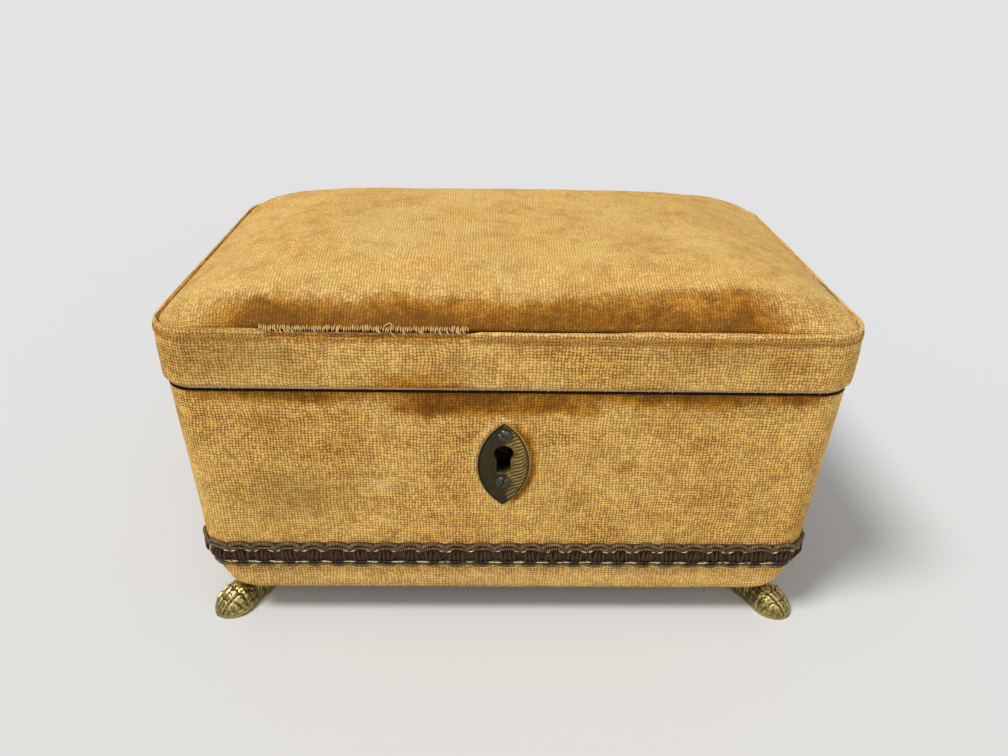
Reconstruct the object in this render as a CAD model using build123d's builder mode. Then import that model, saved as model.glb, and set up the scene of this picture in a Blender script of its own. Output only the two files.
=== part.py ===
"""Velvet-covered musical keepsake box on four brass paw feet.

A wooden carcass with rolled-under ends wears a velvet cover, a metal braid and a
pointed lock plate. The lid carries a crowned cushion and turns on two butt hinges.
Inside are a lined well for keepsakes and, under glass, a cylinder movement that is
wound from below. Millimetres; the origin is on the floor under the middle of the
box, the front faces -Y and +Z is up.
"""
import os
from math import asin, atan, cos, pi, radians, sin, tan

from build123d import *

os.makedirs("parts", exist_ok=True)

# Case: outer sizes over the velvet
feet_height = 12.0
case_height = 79.0
case_half_length = 106.5
case_half_depth = 65.6
case_end_lean = 4.0
case_corner_radius = 10.0
case_end_roll = 20.0
velvet_thickness = 0.9
wall = 7.0
clearance = 0.3
running_fit = 0.05

# Flat facets that stand in for small rounds
round_facets = 16
oval_sides = 10
corner_facets = 4

# Lid: how far it stands out past the case, over the velvet
lid_side_overhang = 1.5
lid_front_overhang = 1.4
lid_corner_radius = 12.5
lid_band_height = 20.0
lid_lip_width = 1.5
lid_lip_height = 1.0
lid_board_thickness = 3.0
lid_rail_thickness = 11.5
cushion_crown = 13.0
cushion_power = 6.0
lid_lining_depth = 4.5
lining_corner = 1.5

# Braid round the case
braid_width = 10.7
braid_rise = 9.8
braid_thickness = 1.2

# Lock plate, keyhole and lock
plate_width = 17.4
plate_height = 31.8
plate_x = -1.8
plate_centre_drop = 26.8
plate_thickness = 1.3
plate_facets = 12
keyhole_radius = 3.2
keyhole_drop = 22.4
keyhole_slot_width = 4.5
keyhole_slot_end_drop = 29.3
plate_screw_head_radius = 2.3
plate_screw_head_height = 0.7
plate_screw_upper_drop = 15.8
plate_screw_lower_drop = 33.2
plate_screw_shank_radius = 0.8
plate_screw_length = 4.0
lock_half_width = 15.0
lock_height = 38.0
lock_thickness = 9.0
lock_mortise = 5.0
bolt_travel = 5.0
bolt_height = 3.6
bolt_thickness = 3.0
bolt_length = 12.0
bolt_tail_width = 5.0
bolt_tail_length = 12.0
striker_eye_height = 5.0
striker_eye_width = 4.2
striker_bar = 1.0
striker_neck = 2.0
striker_thickness = 2.5
striker_x = 2.0
striker_plate_half_length = 12.0
striker_plate_thickness = 1.2
striker_room = 0.6

# Hinges
hinge_spacing = 62.0
hinge_length = 22.0
hinge_centre_knuckle = 8.0
hinge_knuckle_radius = 2.0
hinge_pin_radius = 0.9
hinge_leaf = 0.7
hinge_leaf_depth = 9.0
hinge_overhang = 1.3

# Paw feet
paw_side_inset = 11.2
paw_front_inset = 5.1
paw_half_length = 9.6
paw_half_width = 8.0
paw_height = 8.6
toe_radius = 3.0
toe_height = 5.0
toe_taper = 12.0
toe_spread = 26.0
ankle_reach = 20.0
ankle_half_length = 4.8
ankle_half_width = 4.2
foot_flange_thickness = 1.2
foot_flange_radius = 5.5

# Inside fittings
partition_inset = 76.5
partition_thickness = 4.0
partition_drop = 5.0
lining_thickness = 1.5
floor_pad_thickness = 5.0
floor_pad_gap = 1.0
pad_slope = 2.5
pad_fullness = 0.92
lining_gap = 0.1
lining_drop = 2.0
bezel_drop = 16.0
bezel_width = 9.0
bezel_thickness = 5.0
glass_thickness = 2.0
glass_seat = 2.5
ledge_width = 4.0
ledge_height = 5.0

# Cylinder movement
movement_inset = 43.5
bedplate_left = 26.0
bedplate_right = 20.0
bedplate_end_gap = 7.7
bedplate_thickness = 3.0
barrel_y = -33.0
barrel_height = 10.8
barrel_lift = 0.7
crown_teeth = 40
pinion_teeth = 10
drive_module = 0.65
crown_face = 2.0
cylinder_radius = 10.0
cylinder_start = -11.0
cylinder_length = 42.0
arbor_radius = 1.5
bracket_thickness = 3.0
bracket_half_width = 6.0
bracket_gap = 2.0
wheel_teeth = 48
governor_pinion_teeth = 12
train_module = 0.5
wheel_thickness = 2.0
wheel_gap = 0.5
worm_wheel_teeth = 20
worm_wheel_thickness = 1.2
worm_radius = 2.0
worm_turns = 3
worm_facets = 10
thread_root_share = 0.4
thread_sink = 0.15
fly_radius = 5.0
fly_height = 6.0
fly_vane_thickness = 0.5
fly_shaft_radius = 0.8
comb_tooth_count = 30
comb_tooth_pitch = 1.35
comb_slot_width = 0.4
comb_tooth_length = 10.0
comb_heel = 5.6
comb_thickness = 1.4
comb_gap = 0.4
comb_base_step = 3.0
winding_arbor_radius = 2.0
bridge_thickness = 2.5
bridge_half_width = 5.0
bridge_leg = 4.5
ratchet_teeth = 16
ratchet_radius = 7.0
ratchet_depth = 1.0
ratchet_thickness = 1.6
click_width = 3.0
key_lift = 2.0
key_height = 8.5
key_half_width = 10.0
key_thickness = 2.6
key_hub_radius = 3.6
stop_rod_radius = 1.2
stop_arm_radius = 0.8
stop_gap = 0.4
stop_inset = 4.7
stop_travel = 4.0
stop_guide_drop = 31.0
stop_guide_thickness = 1.0
stop_guide_half_width = 4.0
governor_wall = 1.8
governor_arbor_radius = 1.0
governor_arbor_gap = 3.0
governor_half_width = 3.0
click_gap = 0.2

# Levels and places worked out from the sizes above
case_base = feet_height
case_top = case_base + case_height
wood_base = case_base + velvet_thickness
floor_level = wood_base + wall
inner_half_depth = case_half_depth - velvet_thickness - wall
lid_half_length = case_half_length + lid_side_overhang
lid_half_depth = case_half_depth + lid_front_overhang
paw_x = case_half_length - paw_side_inset
paw_y = case_half_depth - paw_front_inset
partition_x = case_half_length - partition_inset
movement_x = case_half_length - movement_inset
bedplate_half_length = inner_half_depth - bedplate_end_gap
stop_y = inner_half_depth - stop_inset
lid_base = case_top + clearance
lid_lip_top = lid_base + lid_band_height
lid_board_top = lid_lip_top - lid_lip_height
rail_top = lid_board_top - lid_board_thickness
lid_rail_inner_half_depth = lid_half_depth - velvet_thickness - lid_rail_thickness
lid_rail_inner_half_length = lid_half_length - velvet_thickness - lid_rail_thickness
hinge_y = case_half_depth + hinge_overhang
hinge_z = case_top + clearance / 2
well_inset = velvet_thickness + wall


def half_length(level):
    """Half length of the covered case at a height, along its leaning ends."""
    return case_half_length - case_end_lean * (case_top - level) / case_height


corner_angle = pi / 2 + atan(case_end_lean / case_height)
flat_half_length = half_length(case_base) - case_end_roll / tan(corner_angle / 2)
edge_is_upright = cos(radians(45))


def end_profile(inset, top, roll):
    """The case seen from the front, drawn in by inset, its lower corners rolled or square."""
    low = case_base + inset
    with BuildSketch(Plane.XZ) as profile:
        with BuildLine():
            Polyline(
                (-half_length(low) + inset, low),
                (half_length(low) - inset, low),
                (half_length(top) - inset, top),
                (-half_length(top) + inset, top),
                close=True,
            )
        make_face()
        if roll:
            fillet(profile.vertices().group_by(Axis.Y)[0], roll - inset)
    return profile.sketch


def case_form(inset, top):
    """The case as one solid, drawn in by inset, with rounded upright corners."""
    half_depth = case_half_depth - inset
    with BuildPart() as form:
        extrude(end_profile(inset, top, 0), amount=half_depth, dir=(0, 1, 0), both=True)
        upright = form.edges().filter_by(lambda edge: abs(edge.tangent_at(0).Z) > edge_is_upright)
        fillet(upright, case_corner_radius - inset)
        rolled = end_profile(inset, top, case_end_roll)
        extrude(rolled, amount=half_depth, dir=(0, 1, 0), both=True, mode=Mode.INTERSECT)
    return form.part


def inside_form(inset, top, half_depth):
    """The hollow between the boards, as one solid with rolled lower corners."""
    with BuildPart() as form:
        rolled = end_profile(inset, top, case_end_roll)
        extrude(rolled, amount=half_depth, dir=(0, 1, 0), both=True)
    return form.part


def keyhole(extra):
    """Keyhole outline on the front: a round eye over a slot."""
    with BuildSketch(Plane.XZ.offset(inner_half_depth - lock_thickness / 3)) as hole:
        with Locations((plate_x, case_top - keyhole_drop)):
            Circle(keyhole_radius + extra)
        slot_top = case_top - keyhole_drop
        slot_end = case_top - keyhole_slot_end_drop - extra
        with Locations((plate_x, (slot_top + slot_end) / 2)):
            Rectangle(keyhole_slot_width + 2 * extra, slot_top - slot_end)
    return hole.sketch


keyhole_reach = lock_thickness + wall + 2 * velvet_thickness + plate_thickness


def hinge_relief(side):
    """Room for one hinge's knuckles, round the hinge line."""
    with BuildPart() as relief:
        with BuildSketch(Plane.YZ.offset(side * hinge_spacing - hinge_length / 2 - clearance)):
            with Locations((hinge_y, hinge_z)):
                Circle(hinge_knuckle_radius + clearance)
        extrude(amount=hinge_length + 2 * clearance)
    return relief.part


leaf_end = hinge_y - hinge_knuckle_radius - clearance
leaf_middle = leaf_end - hinge_leaf_depth / 2


def leaf_recess(level, amount):
    """Seats for both hinge leaves in a rim."""
    with BuildPart() as recess:
        with BuildSketch(Plane.XY.offset(level)):
            recess_front = leaf_end - hinge_leaf_depth - clearance
            recess_middle = (recess_front + hinge_y) / 2
            with Locations(*[(side * hinge_spacing, recess_middle) for side in (-1, 1)]):
                Rectangle(hinge_length + 2 * clearance, hinge_y - recess_front)
        extrude(amount=amount)
    return recess.part


foot_places = [(1, 1), (-1, 1), (-1, -1), (1, -1)]


def oval(centre, half_long, half_wide):
    """Corners of an oval that stands level, in flat facets, as a filed casting has."""
    turns = [2 * pi * number / oval_sides for number in range(oval_sides)]
    return [centre + Vector(half_long * cos(turn), half_wide * sin(turn), 0) for turn in turns]


def level_outline(centre, half_long, half_wide, radius):
    """Corners of a level rounded rectangle, its rounded corners in flat facets."""
    outline = []
    for quarter, (side_x, side_y) in enumerate(((1, 1), (-1, 1), (-1, -1), (1, -1))):
        for number in range(corner_facets + 1):
            turn = pi / 2 * (quarter + number / corner_facets)
            x = side_x * (half_long - radius) + radius * cos(turn)
            y = side_y * (half_wide - radius) + radius * sin(turn)
            outline.append(centre + Vector(x, y, 0))
    return outline


def faceted(rings):
    """A solid with flat faces through rings of corners, closed at both ends."""
    faces = [Face(Wire.make_polygon(rings[0])), Face(Wire.make_polygon(rings[-1]))]
    for low, high in zip(rings, rings[1:]):
        for number, corner in enumerate(low):
            after = (number + 1) % len(low)
            faces.append(Face(Wire.make_polygon([corner, low[after], high[after]])))
            faces.append(Face(Wire.make_polygon([corner, high[after], high[number]])))
    return Solid(Shell(faces))


def foot_plane(side_x, side_y):
    """Floor plane under a paw, with its x axis pointing out of the box's corner."""
    outward = (side_x * cos(radians(45)), side_y * sin(radians(45)), 0)
    return Plane(origin=(side_x * paw_x, side_y * paw_y, 0), x_dir=outward, z_dir=(0, 0, 1))


# Front board: profile of the case, mortised for the lock and pierced for the key
with BuildPart() as front_board:
    add(case_form(velvet_thickness, case_top))
    split(bisect_by=Plane.XZ.offset(inner_half_depth), keep=Keep.TOP)
    with BuildSketch(Plane.XZ.offset(inner_half_depth)):
        with Locations((0, case_top - lock_height / 2)):
            Rectangle(2 * (lock_half_width + clearance), lock_height + 2 * clearance)
    extrude(amount=lock_mortise + clearance, mode=Mode.SUBTRACT)
    extrude(keyhole(clearance), amount=keyhole_reach, dir=(0, -1, 0), mode=Mode.SUBTRACT)
    plate_screw_planes = [
        Plane(
            origin=(plate_x, -case_half_depth - plate_thickness, case_top - drop),
            x_dir=(1, 0, 0),
            z_dir=(0, -1, 0),
        )
        for drop in (plate_screw_upper_drop, plate_screw_lower_drop)
    ]
    with BuildSketch(*plate_screw_planes):
        Circle(plate_screw_shank_radius + running_fit)
    extrude(amount=-plate_thickness - velvet_thickness - wall, mode=Mode.SUBTRACT)
front_board.part.label = "front_board"
export_step(front_board.part, "parts/front_board.step")

# Back board: the same profile, let in for the hinges
with BuildPart() as back_board:
    add(case_form(velvet_thickness, case_top))
    split(bisect_by=Plane.ZX.offset(inner_half_depth), keep=Keep.TOP)
    add(leaf_recess(case_top, -hinge_leaf), mode=Mode.SUBTRACT)
    for side in (-1, 1):
        add(hinge_relief(side), mode=Mode.SUBTRACT)
back_board.part.label = "back_board"
export_step(back_board.part, "parts/back_board.step")

# Ends: upright boards that roll under to meet the bottom
for side, name in ((-1, "left_end"), (1, "right_end")):
    with BuildPart() as end_board:
        add(case_form(velvet_thickness, case_top))
        split(bisect_by=Plane.XZ.offset(inner_half_depth), keep=Keep.BOTTOM)
        split(bisect_by=Plane.ZX.offset(inner_half_depth), keep=Keep.BOTTOM)
        roll_start = Plane(origin=(side * flat_half_length, 0, 0), z_dir=(side, 0, 0))
        split(bisect_by=roll_start, keep=Keep.TOP)
        add(inside_form(well_inset, case_top + wall, case_half_depth), mode=Mode.SUBTRACT)
    end_board.part.label = name
    export_step(end_board.part, f"parts/{name}.step")

# Bottom board, bored for the winding arbor
with BuildPart() as bottom_board:
    with BuildSketch(Plane.XY.offset(wood_base)):
        Rectangle(2 * flat_half_length, 2 * inner_half_depth)
        with Locations((movement_x, barrel_y)):
            Circle(key_hub_radius + clearance, mode=Mode.SUBTRACT)
    extrude(amount=wall)
bottom_board.part.label = "bottom_board"
export_step(bottom_board.part, "parts/bottom_board.step")

# Velvet drawn over the sides and under the rolled ends
base_panel_half_length = flat_half_length - 4.0
base_panel_half_depth = case_half_depth - 8.0
with BuildPart() as case_velvet:
    add(case_form(0, case_top))
    add(case_form(velvet_thickness, case_top + wall), mode=Mode.SUBTRACT)
    with BuildSketch(Plane.XY.offset(case_base)):
        Rectangle(2 * base_panel_half_length, 2 * base_panel_half_depth)
    extrude(amount=velvet_thickness, mode=Mode.SUBTRACT)
    extrude(keyhole(clearance), amount=keyhole_reach, dir=(0, -1, 0), mode=Mode.SUBTRACT)
    with BuildSketch(*plate_screw_planes):
        Circle(plate_screw_shank_radius + running_fit)
    extrude(amount=-plate_thickness - velvet_thickness, mode=Mode.SUBTRACT)
    add(leaf_recess(case_top, -hinge_leaf), mode=Mode.SUBTRACT)
    for side in (-1, 1):
        add(hinge_relief(side), mode=Mode.SUBTRACT)
case_velvet.part.label = "case_velvet"
export_step(case_velvet.part, "parts/case_velvet.step")

# Paper panel that closes the underside
paper_thickness = 0.6
with BuildPart() as base_paper:
    with BuildSketch(Plane.XY.offset(wood_base - paper_thickness)):
        Rectangle(
            2 * (base_panel_half_length - clearance),
            2 * (base_panel_half_depth - clearance),
        )
        with Locations((movement_x, barrel_y)):
            Circle(key_hub_radius + clearance, mode=Mode.SUBTRACT)
    extrude(amount=paper_thickness)
base_paper.part.label = "base_paper"
export_step(base_paper.part, "parts/base_paper.step")

# Braid: a proud band that follows the sides and the start of the rolled ends
braid_low = case_base + braid_rise
with BuildPart() as braid:
    add(case_form(-braid_thickness, case_top))
    add(case_form(0, case_top + wall), mode=Mode.SUBTRACT)
    split(bisect_by=Plane.XY.offset(braid_low), keep=Keep.TOP)
    split(bisect_by=Plane.XY.offset(braid_low + braid_width), keep=Keep.BOTTOM)
braid.part.label = "braid"
export_step(braid.part, "parts/braid.step")

# Lock plate: a pointed oval of two arcs, in flat facets, its edge bevelled
plate_z = case_top - plate_centre_drop
plate_bow = (plate_height**2 + plate_width**2) / (4 * plate_width)
plate_turn = asin(plate_height / 2 / plate_bow)
plate_corners = []
for side in (1, -1):
    for number in range(plate_facets):
        turn = side * plate_turn * (2 * number / plate_facets - 1)
        bulge = plate_bow * cos(turn) - plate_bow + plate_width / 2
        plate_corners.append((plate_x + side * bulge, plate_z + plate_bow * sin(turn)))
with BuildPart() as escutcheon:
    with BuildSketch(Plane.XZ.offset(case_half_depth)) as plate_outline:
        Polygon(*plate_corners, align=None)
    extrude(amount=plate_thickness)
    chamfer(escutcheon.faces().sort_by(Axis.Y)[0].edges(), plate_thickness / 2)
    extrude(keyhole(0), amount=keyhole_reach, dir=(0, -1, 0), mode=Mode.SUBTRACT)
    with BuildSketch(*plate_screw_planes):
        Circle(plate_screw_shank_radius + running_fit)
    extrude(amount=-plate_thickness, mode=Mode.SUBTRACT)
escutcheon.part.label = "escutcheon"
export_step(escutcheon.part, "parts/escutcheon.step")

with BuildPart() as escutcheon_screws:
    with BuildSketch(*plate_screw_planes):
        RegularPolygon(plate_screw_head_radius, round_facets)
    extrude(amount=plate_screw_head_height)
    with BuildSketch(*plate_screw_planes):
        RegularPolygon(plate_screw_shank_radius, oval_sides)
    extrude(amount=-plate_screw_length)
escutcheon_screws.part.label = "escutcheon_screws"
export_step(escutcheon_screws.part, "parts/escutcheon_screws.step")

# Lock: a closed case with a channel for the bolt and a mouth for the lid's staple
lock_front = -inner_half_depth - lock_mortise
lock_middle = lock_front + lock_thickness / 2
striker_eye_top = lid_base - striker_neck
bolt_z = striker_eye_top - striker_eye_height / 2
striker_width = striker_eye_width + 2 * striker_bar
bolt_left = striker_x - 1.0 - bolt_length
tail_left = bolt_left + 3.0
key_chamber_radius = 5.0
with BuildPart() as lock_case:
    with BuildSketch(Plane.XY.offset(case_top - lock_height)):
        with Locations((0, lock_middle)):
            Rectangle(2 * lock_half_width, lock_thickness)
    extrude(amount=lock_height)
    with BuildSketch(Plane.YZ.offset(bolt_left - clearance)):
        with Locations((lock_middle, bolt_z)):
            Rectangle(bolt_thickness + 2 * clearance, bolt_height + 2 * clearance)
    extrude(amount=bolt_length + bolt_travel + 2 * clearance, mode=Mode.SUBTRACT)
    tail_top = bolt_z
    tail_low = bolt_z - bolt_height / 2 - bolt_tail_length
    with BuildSketch(Plane.YZ.offset(tail_left - clearance)):
        with Locations((lock_middle, (tail_top + tail_low - clearance) / 2)):
            Rectangle(bolt_thickness + 2 * clearance, tail_top - tail_low + clearance)
    extrude(amount=bolt_tail_width + bolt_travel + 2 * clearance, mode=Mode.SUBTRACT)
    striker_low = striker_eye_top - striker_eye_height - striker_bar
    with BuildSketch(Plane.XY.offset(striker_low - clearance)):
        with Locations((striker_x + striker_thickness / 2, lock_middle)):
            Rectangle(striker_thickness + 2 * striker_room, striker_width + 2 * striker_room)
    extrude(amount=case_top - striker_low + 1, mode=Mode.SUBTRACT)
    extrude(keyhole(clearance), amount=keyhole_reach, dir=(0, -1, 0), mode=Mode.SUBTRACT)
    with BuildSketch(Plane.XZ.offset(-lock_middle - bolt_thickness / 2 - clearance)):
        with Locations((plate_x, case_top - keyhole_drop)):
            Circle(key_chamber_radius)
    extrude(amount=bolt_thickness + 2 * clearance, mode=Mode.SUBTRACT)
lock_case.part.label = "lock_case"
export_step(lock_case.part, "parts/lock_case.step")

with BuildPart() as lock_bolt:
    with BuildSketch(Plane.XZ.offset(-lock_middle - bolt_thickness / 2)):
        with Locations((bolt_left + bolt_length / 2, bolt_z)):
            Rectangle(bolt_length, bolt_height)
        with Locations((tail_left + bolt_tail_width / 2, (tail_top + tail_low) / 2)):
            Rectangle(bolt_tail_width, tail_top - tail_low)
        with Locations((tail_left + bolt_tail_width / 2, tail_low)):
            Rectangle(bolt_tail_width / 2, bolt_tail_width / 2, mode=Mode.SUBTRACT)
    extrude(amount=bolt_thickness)
lock_bolt.part.label = "lock_bolt"
export_step(lock_bolt.part, "parts/lock_bolt.step")

# Feet: cast paws that stand out from the corners, each on a screwed ankle. Each row of
# the sections gives a height, a shift and a size, as shares of the full ones.
ankle_top = feet_height - foot_flange_thickness
paw_sections = (
    (0.0, 0.0, 0.96),
    (0.35, 0.0, 1.0),
    (1.0, -0.4, 0.5),
)
ankle_sections = (
    (0.45, -0.25, 1.0),
    (0.8, -0.6, 0.82),
    (1.0, -1.0, 1.0),
)
for number, (side_x, side_y) in enumerate(foot_places):
    depth_name = "back" if side_y > 0 else "front"
    side_name = "right" if side_x > 0 else "left"
    paw_rings = []
    for rise, shift, share in paw_sections:
        centre = Vector(shift * paw_half_length, 0, rise * paw_height)
        paw_rings.append(oval(centre, share * paw_half_length, share * paw_half_width))
    ankle_rings = []
    for rise, shift, share in ankle_sections:
        centre = Vector(shift * ankle_reach, 0, rise * ankle_top)
        ankle_rings.append(oval(centre, share * ankle_half_length, share * ankle_half_width))
    flange_rings = [
        oval(Vector(-ankle_reach, 0, level), foot_flange_radius, foot_flange_radius)
        for level in (ankle_top, feet_height)
    ]
    toe_top_radius = toe_radius - toe_height * tan(radians(toe_taper))
    with BuildPart() as foot:
        with Locations(foot_plane(side_x, side_y)):
            add(faceted(paw_rings))
            add(faceted(ankle_rings))
            add(faceted(flange_rings))
            for step in (-1.5, -0.5, 0.5, 1.5):
                angle = radians(step * toe_spread)
                toe_x = (paw_half_length - toe_radius) * cos(angle)
                toe_y = (paw_half_width - toe_radius) * sin(angle)
                toe_rings = [
                    oval(Vector(toe_x, toe_y, 0), toe_radius, toe_radius),
                    oval(Vector(toe_x, toe_y, toe_height), toe_top_radius, toe_top_radius),
                ]
                add(faceted(toe_rings))
    foot_name = f"{depth_name}_{side_name}_foot"
    foot.part.label = foot_name
    export_step(foot.part, f"parts/{foot_name}.step")

# Partition between the keepsake well and the movement
partition_top = case_top - partition_drop
with BuildPart() as partition:
    with BuildSketch(Plane.XZ.offset(-inner_half_depth)) as partition_end:
        with Locations((partition_x + partition_thickness / 2, (floor_level + partition_top) / 2)):
            Rectangle(partition_thickness, partition_top - floor_level)
        fillet(partition_end.vertices().group_by(Axis.Y)[-1], partition_thickness / 4)
    extrude(amount=2 * inner_half_depth)
partition.part.label = "partition"
export_step(partition.part, "parts/partition.step")


def well_form(inset, top, end_inset):
    """The keepsake well as one solid, from the rolled left end to the partition."""
    with BuildPart() as form:
        add(inside_form(well_inset + inset, top, inner_half_depth - end_inset))
        split(bisect_by=Plane.YZ.offset(partition_x - end_inset), keep=Keep.BOTTOM)
    return form.part


# Silk-covered lining of the well, cut round the inner side of the lock
lining_top = case_top - lining_drop
lining_inner = lining_gap + lining_thickness
with BuildPart() as well_lining:
    add(well_form(lining_gap, lining_top, lining_gap))
    add(well_form(lining_inner, lining_top + wall, lining_inner), mode=Mode.SUBTRACT)
    with BuildSketch(Plane.XY.offset(case_top - lock_height - clearance)):
        with Locations((0, lock_middle)):
            Rectangle(2 * (lock_half_width + clearance), lock_thickness + 2 * clearance)
    extrude(amount=lock_height, mode=Mode.SUBTRACT)
well_lining.part.label = "well_lining"
export_step(well_lining.part, "parts/well_lining.step")

# Padded floor of the well: a low crowned cushion
pad_base = floor_level + lining_inner
pad_left = -flat_half_length
pad_right = partition_x - lining_inner - floor_pad_gap
pad_half_depth = inner_half_depth - lining_inner - floor_pad_gap
pad_shares = (0.0, 0.6, 1.0)
pad_rings = []
for share in pad_shares:
    inset = pad_slope * floor_pad_thickness * (1 - (1 - pad_fullness * share) ** (1 / 3))
    centre = Vector((pad_left + pad_right) / 2, 0, pad_base + share * floor_pad_thickness)
    half_long = (pad_right - pad_left) / 2 - inset
    pad_rings.append(level_outline(centre, half_long, pad_half_depth - inset, case_corner_radius))
with BuildPart() as floor_pad:
    add(faceted(pad_rings))
floor_pad.part.label = "floor_pad"
export_step(floor_pad.part, "parts/floor_pad.step")

# Glass over the movement, in a frame that rests on two ledges
bezel_top = case_top - bezel_drop
bezel_base = bezel_top - bezel_thickness
bezel_left = partition_x + partition_thickness + clearance
bezel_right = half_length(bezel_base) - well_inset - clearance
bezel_middle = (bezel_left + bezel_right) / 2
bezel_span = bezel_right - bezel_left
bezel_half_depth = inner_half_depth - clearance
governor_x = movement_x + train_module * (wheel_teeth + governor_pinion_teeth) / 2
worm_wheel_radius = train_module * worm_wheel_teeth / 2
worm_x = governor_x + worm_wheel_radius + worm_radius
stop_x = worm_x + fly_radius + stop_gap + stop_arm_radius
with BuildPart() as glass_frame:
    with BuildSketch(Plane.XY.offset(bezel_base)):
        with Locations((bezel_middle, 0)):
            Rectangle(bezel_span, 2 * bezel_half_depth)
            Rectangle(
                bezel_span - 2 * bezel_width,
                2 * (bezel_half_depth - bezel_width),
                mode=Mode.SUBTRACT,
            )
        with Locations((stop_x, stop_y)):
            Circle(stop_rod_radius + clearance, mode=Mode.SUBTRACT)
    extrude(amount=bezel_thickness)
    with BuildSketch(Plane.XY.offset(bezel_top - glass_thickness)):
        with Locations((bezel_middle, 0)):
            Rectangle(
                bezel_span - 2 * (bezel_width - glass_seat),
                2 * (bezel_half_depth - bezel_width + glass_seat),
            )
    extrude(amount=glass_thickness, mode=Mode.SUBTRACT)
glass_frame.part.label = "glass_frame"
export_step(glass_frame.part, "parts/glass_frame.step")

with BuildPart() as movement_glass:
    with BuildSketch(Plane.XY.offset(bezel_top - glass_thickness)):
        with Locations((bezel_middle, 0)):
            Rectangle(
                bezel_span - 2 * (bezel_width - glass_seat) - 2 * running_fit,
                2 * (bezel_half_depth - bezel_width + glass_seat) - 2 * running_fit,
            )
    extrude(amount=glass_thickness)
movement_glass.part.label = "movement_glass"
export_step(movement_glass.part, "parts/movement_glass.step")

with BuildPart() as glass_ledges:
    with BuildSketch(Plane.XY.offset(bezel_base - ledge_height)):
        for side in (-1, 1):
            with Locations((bezel_middle, side * (inner_half_depth - ledge_width / 2))):
                Rectangle(bezel_span - 4 * clearance, ledge_width)
        with Locations((stop_x, stop_y)):
            Circle(stop_rod_radius + clearance, mode=Mode.SUBTRACT)
    extrude(amount=ledge_height)
glass_ledges.part.label = "glass_ledges"
export_step(glass_ledges.part, "parts/glass_ledges.step")

# Movement: levels that follow from the barrel's crown teeth
bedplate_top = floor_level + bedplate_thickness
barrel_base = bedplate_top + barrel_lift
barrel_top = barrel_base + barrel_height
crown_radius = drive_module * crown_teeth / 2
pinion_radius = drive_module * pinion_teeth / 2
drive_pitch = pi * drive_module
dedendum = 1.25
addendum = 0.8
root_share = 0.47
tip_share = 0.2
crown_pitch_z = barrel_top + dedendum * drive_module
crown_tip_z = crown_pitch_z + addendum * drive_module
axis_z = crown_pitch_z + pinion_radius
pinion_y = barrel_y + crown_radius
bridge_base = crown_tip_z + wheel_gap
bridge_top = bridge_base + bridge_thickness
barrel_radius = crown_radius + crown_face / 2
leg_inner = barrel_radius + wheel_gap
front_bracket_y = cylinder_start - bracket_gap - bracket_thickness
cylinder_end = cylinder_start + cylinder_length
wheel_y = cylinder_end + wheel_gap
back_bracket_y = wheel_y + wheel_thickness + bracket_gap
comb_z = axis_z - comb_thickness / 2
comb_tip_x = movement_x - cylinder_radius - comb_gap
comb_root_x = comb_tip_x - comb_tooth_length
comb_left = comb_root_x - comb_heel
cylinder_middle = cylinder_start + cylinder_length / 2
comb_half_width = comb_tooth_count * comb_tooth_pitch / 2
comb_base_right = comb_root_x + comb_thickness
governor_front_y = wheel_y + wheel_thickness + 3 * wheel_gap
worm_y = governor_front_y + governor_wall + governor_arbor_gap
governor_back_y = worm_y + fly_radius + 2 * stop_gap
worm_pitch = pi * train_module
worm_start_z = axis_z - worm_turns * worm_pitch / 2
worm_core_radius = worm_radius - dedendum * train_module
fly_base = axis_z + worm_wheel_radius + train_module + wheel_gap
fly_top = fly_base + fly_height
governor_top = fly_top + governor_arbor_gap
governor_arm_low = worm_start_z - governor_arbor_gap
bridge_legs = [
    (movement_x + side * (leg_inner + bridge_leg / 2), barrel_y) for side in (-1, 1)
]


def toothed_wheel(plane, teeth, module, thickness, start_angle):
    """Spur wheel with slim tapered teeth, standing on a plane."""
    pitch_radius = module * teeth / 2
    root = pitch_radius - dedendum * module
    tip = pitch_radius + addendum * module
    root_half = root_share * pi * module / 2 / root
    tip_half = tip_share * pi * module / 2 / tip
    flank = ((root, -root_half), (tip, -tip_half), (tip, tip_half), (root, root_half))
    outline = []
    for number in range(teeth):
        middle = radians(start_angle) + 2 * pi * number / teeth
        for radius, turn in flank:
            outline.append((radius * cos(middle + turn), radius * sin(middle + turn)))
    with BuildPart() as wheel:
        with BuildSketch(plane):
            Polygon(*outline, align=None)
        extrude(amount=thickness)
    return wheel.part


def cross_plane(x, y, z):
    """Plane across the movement, facing +Y, with its x axis along +X."""
    return Plane(origin=(x, y, z), x_dir=(1, 0, 0), z_dir=(0, 1, 0))


with BuildPart() as bedplate:
    with BuildSketch(Plane.XY.offset(floor_level)) as bedplate_outline:
        with Locations((movement_x + (bedplate_right - bedplate_left) / 2, 0)):
            RectangleRounded(bedplate_left + bedplate_right, 2 * bedplate_half_length, 3)
        with Locations((movement_x, barrel_y)):
            Circle(winding_arbor_radius + running_fit, mode=Mode.SUBTRACT)
    extrude(amount=bedplate_thickness)
bedplate.part.label = "bedplate"
export_step(bedplate.part, "parts/bedplate.step")

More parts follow.
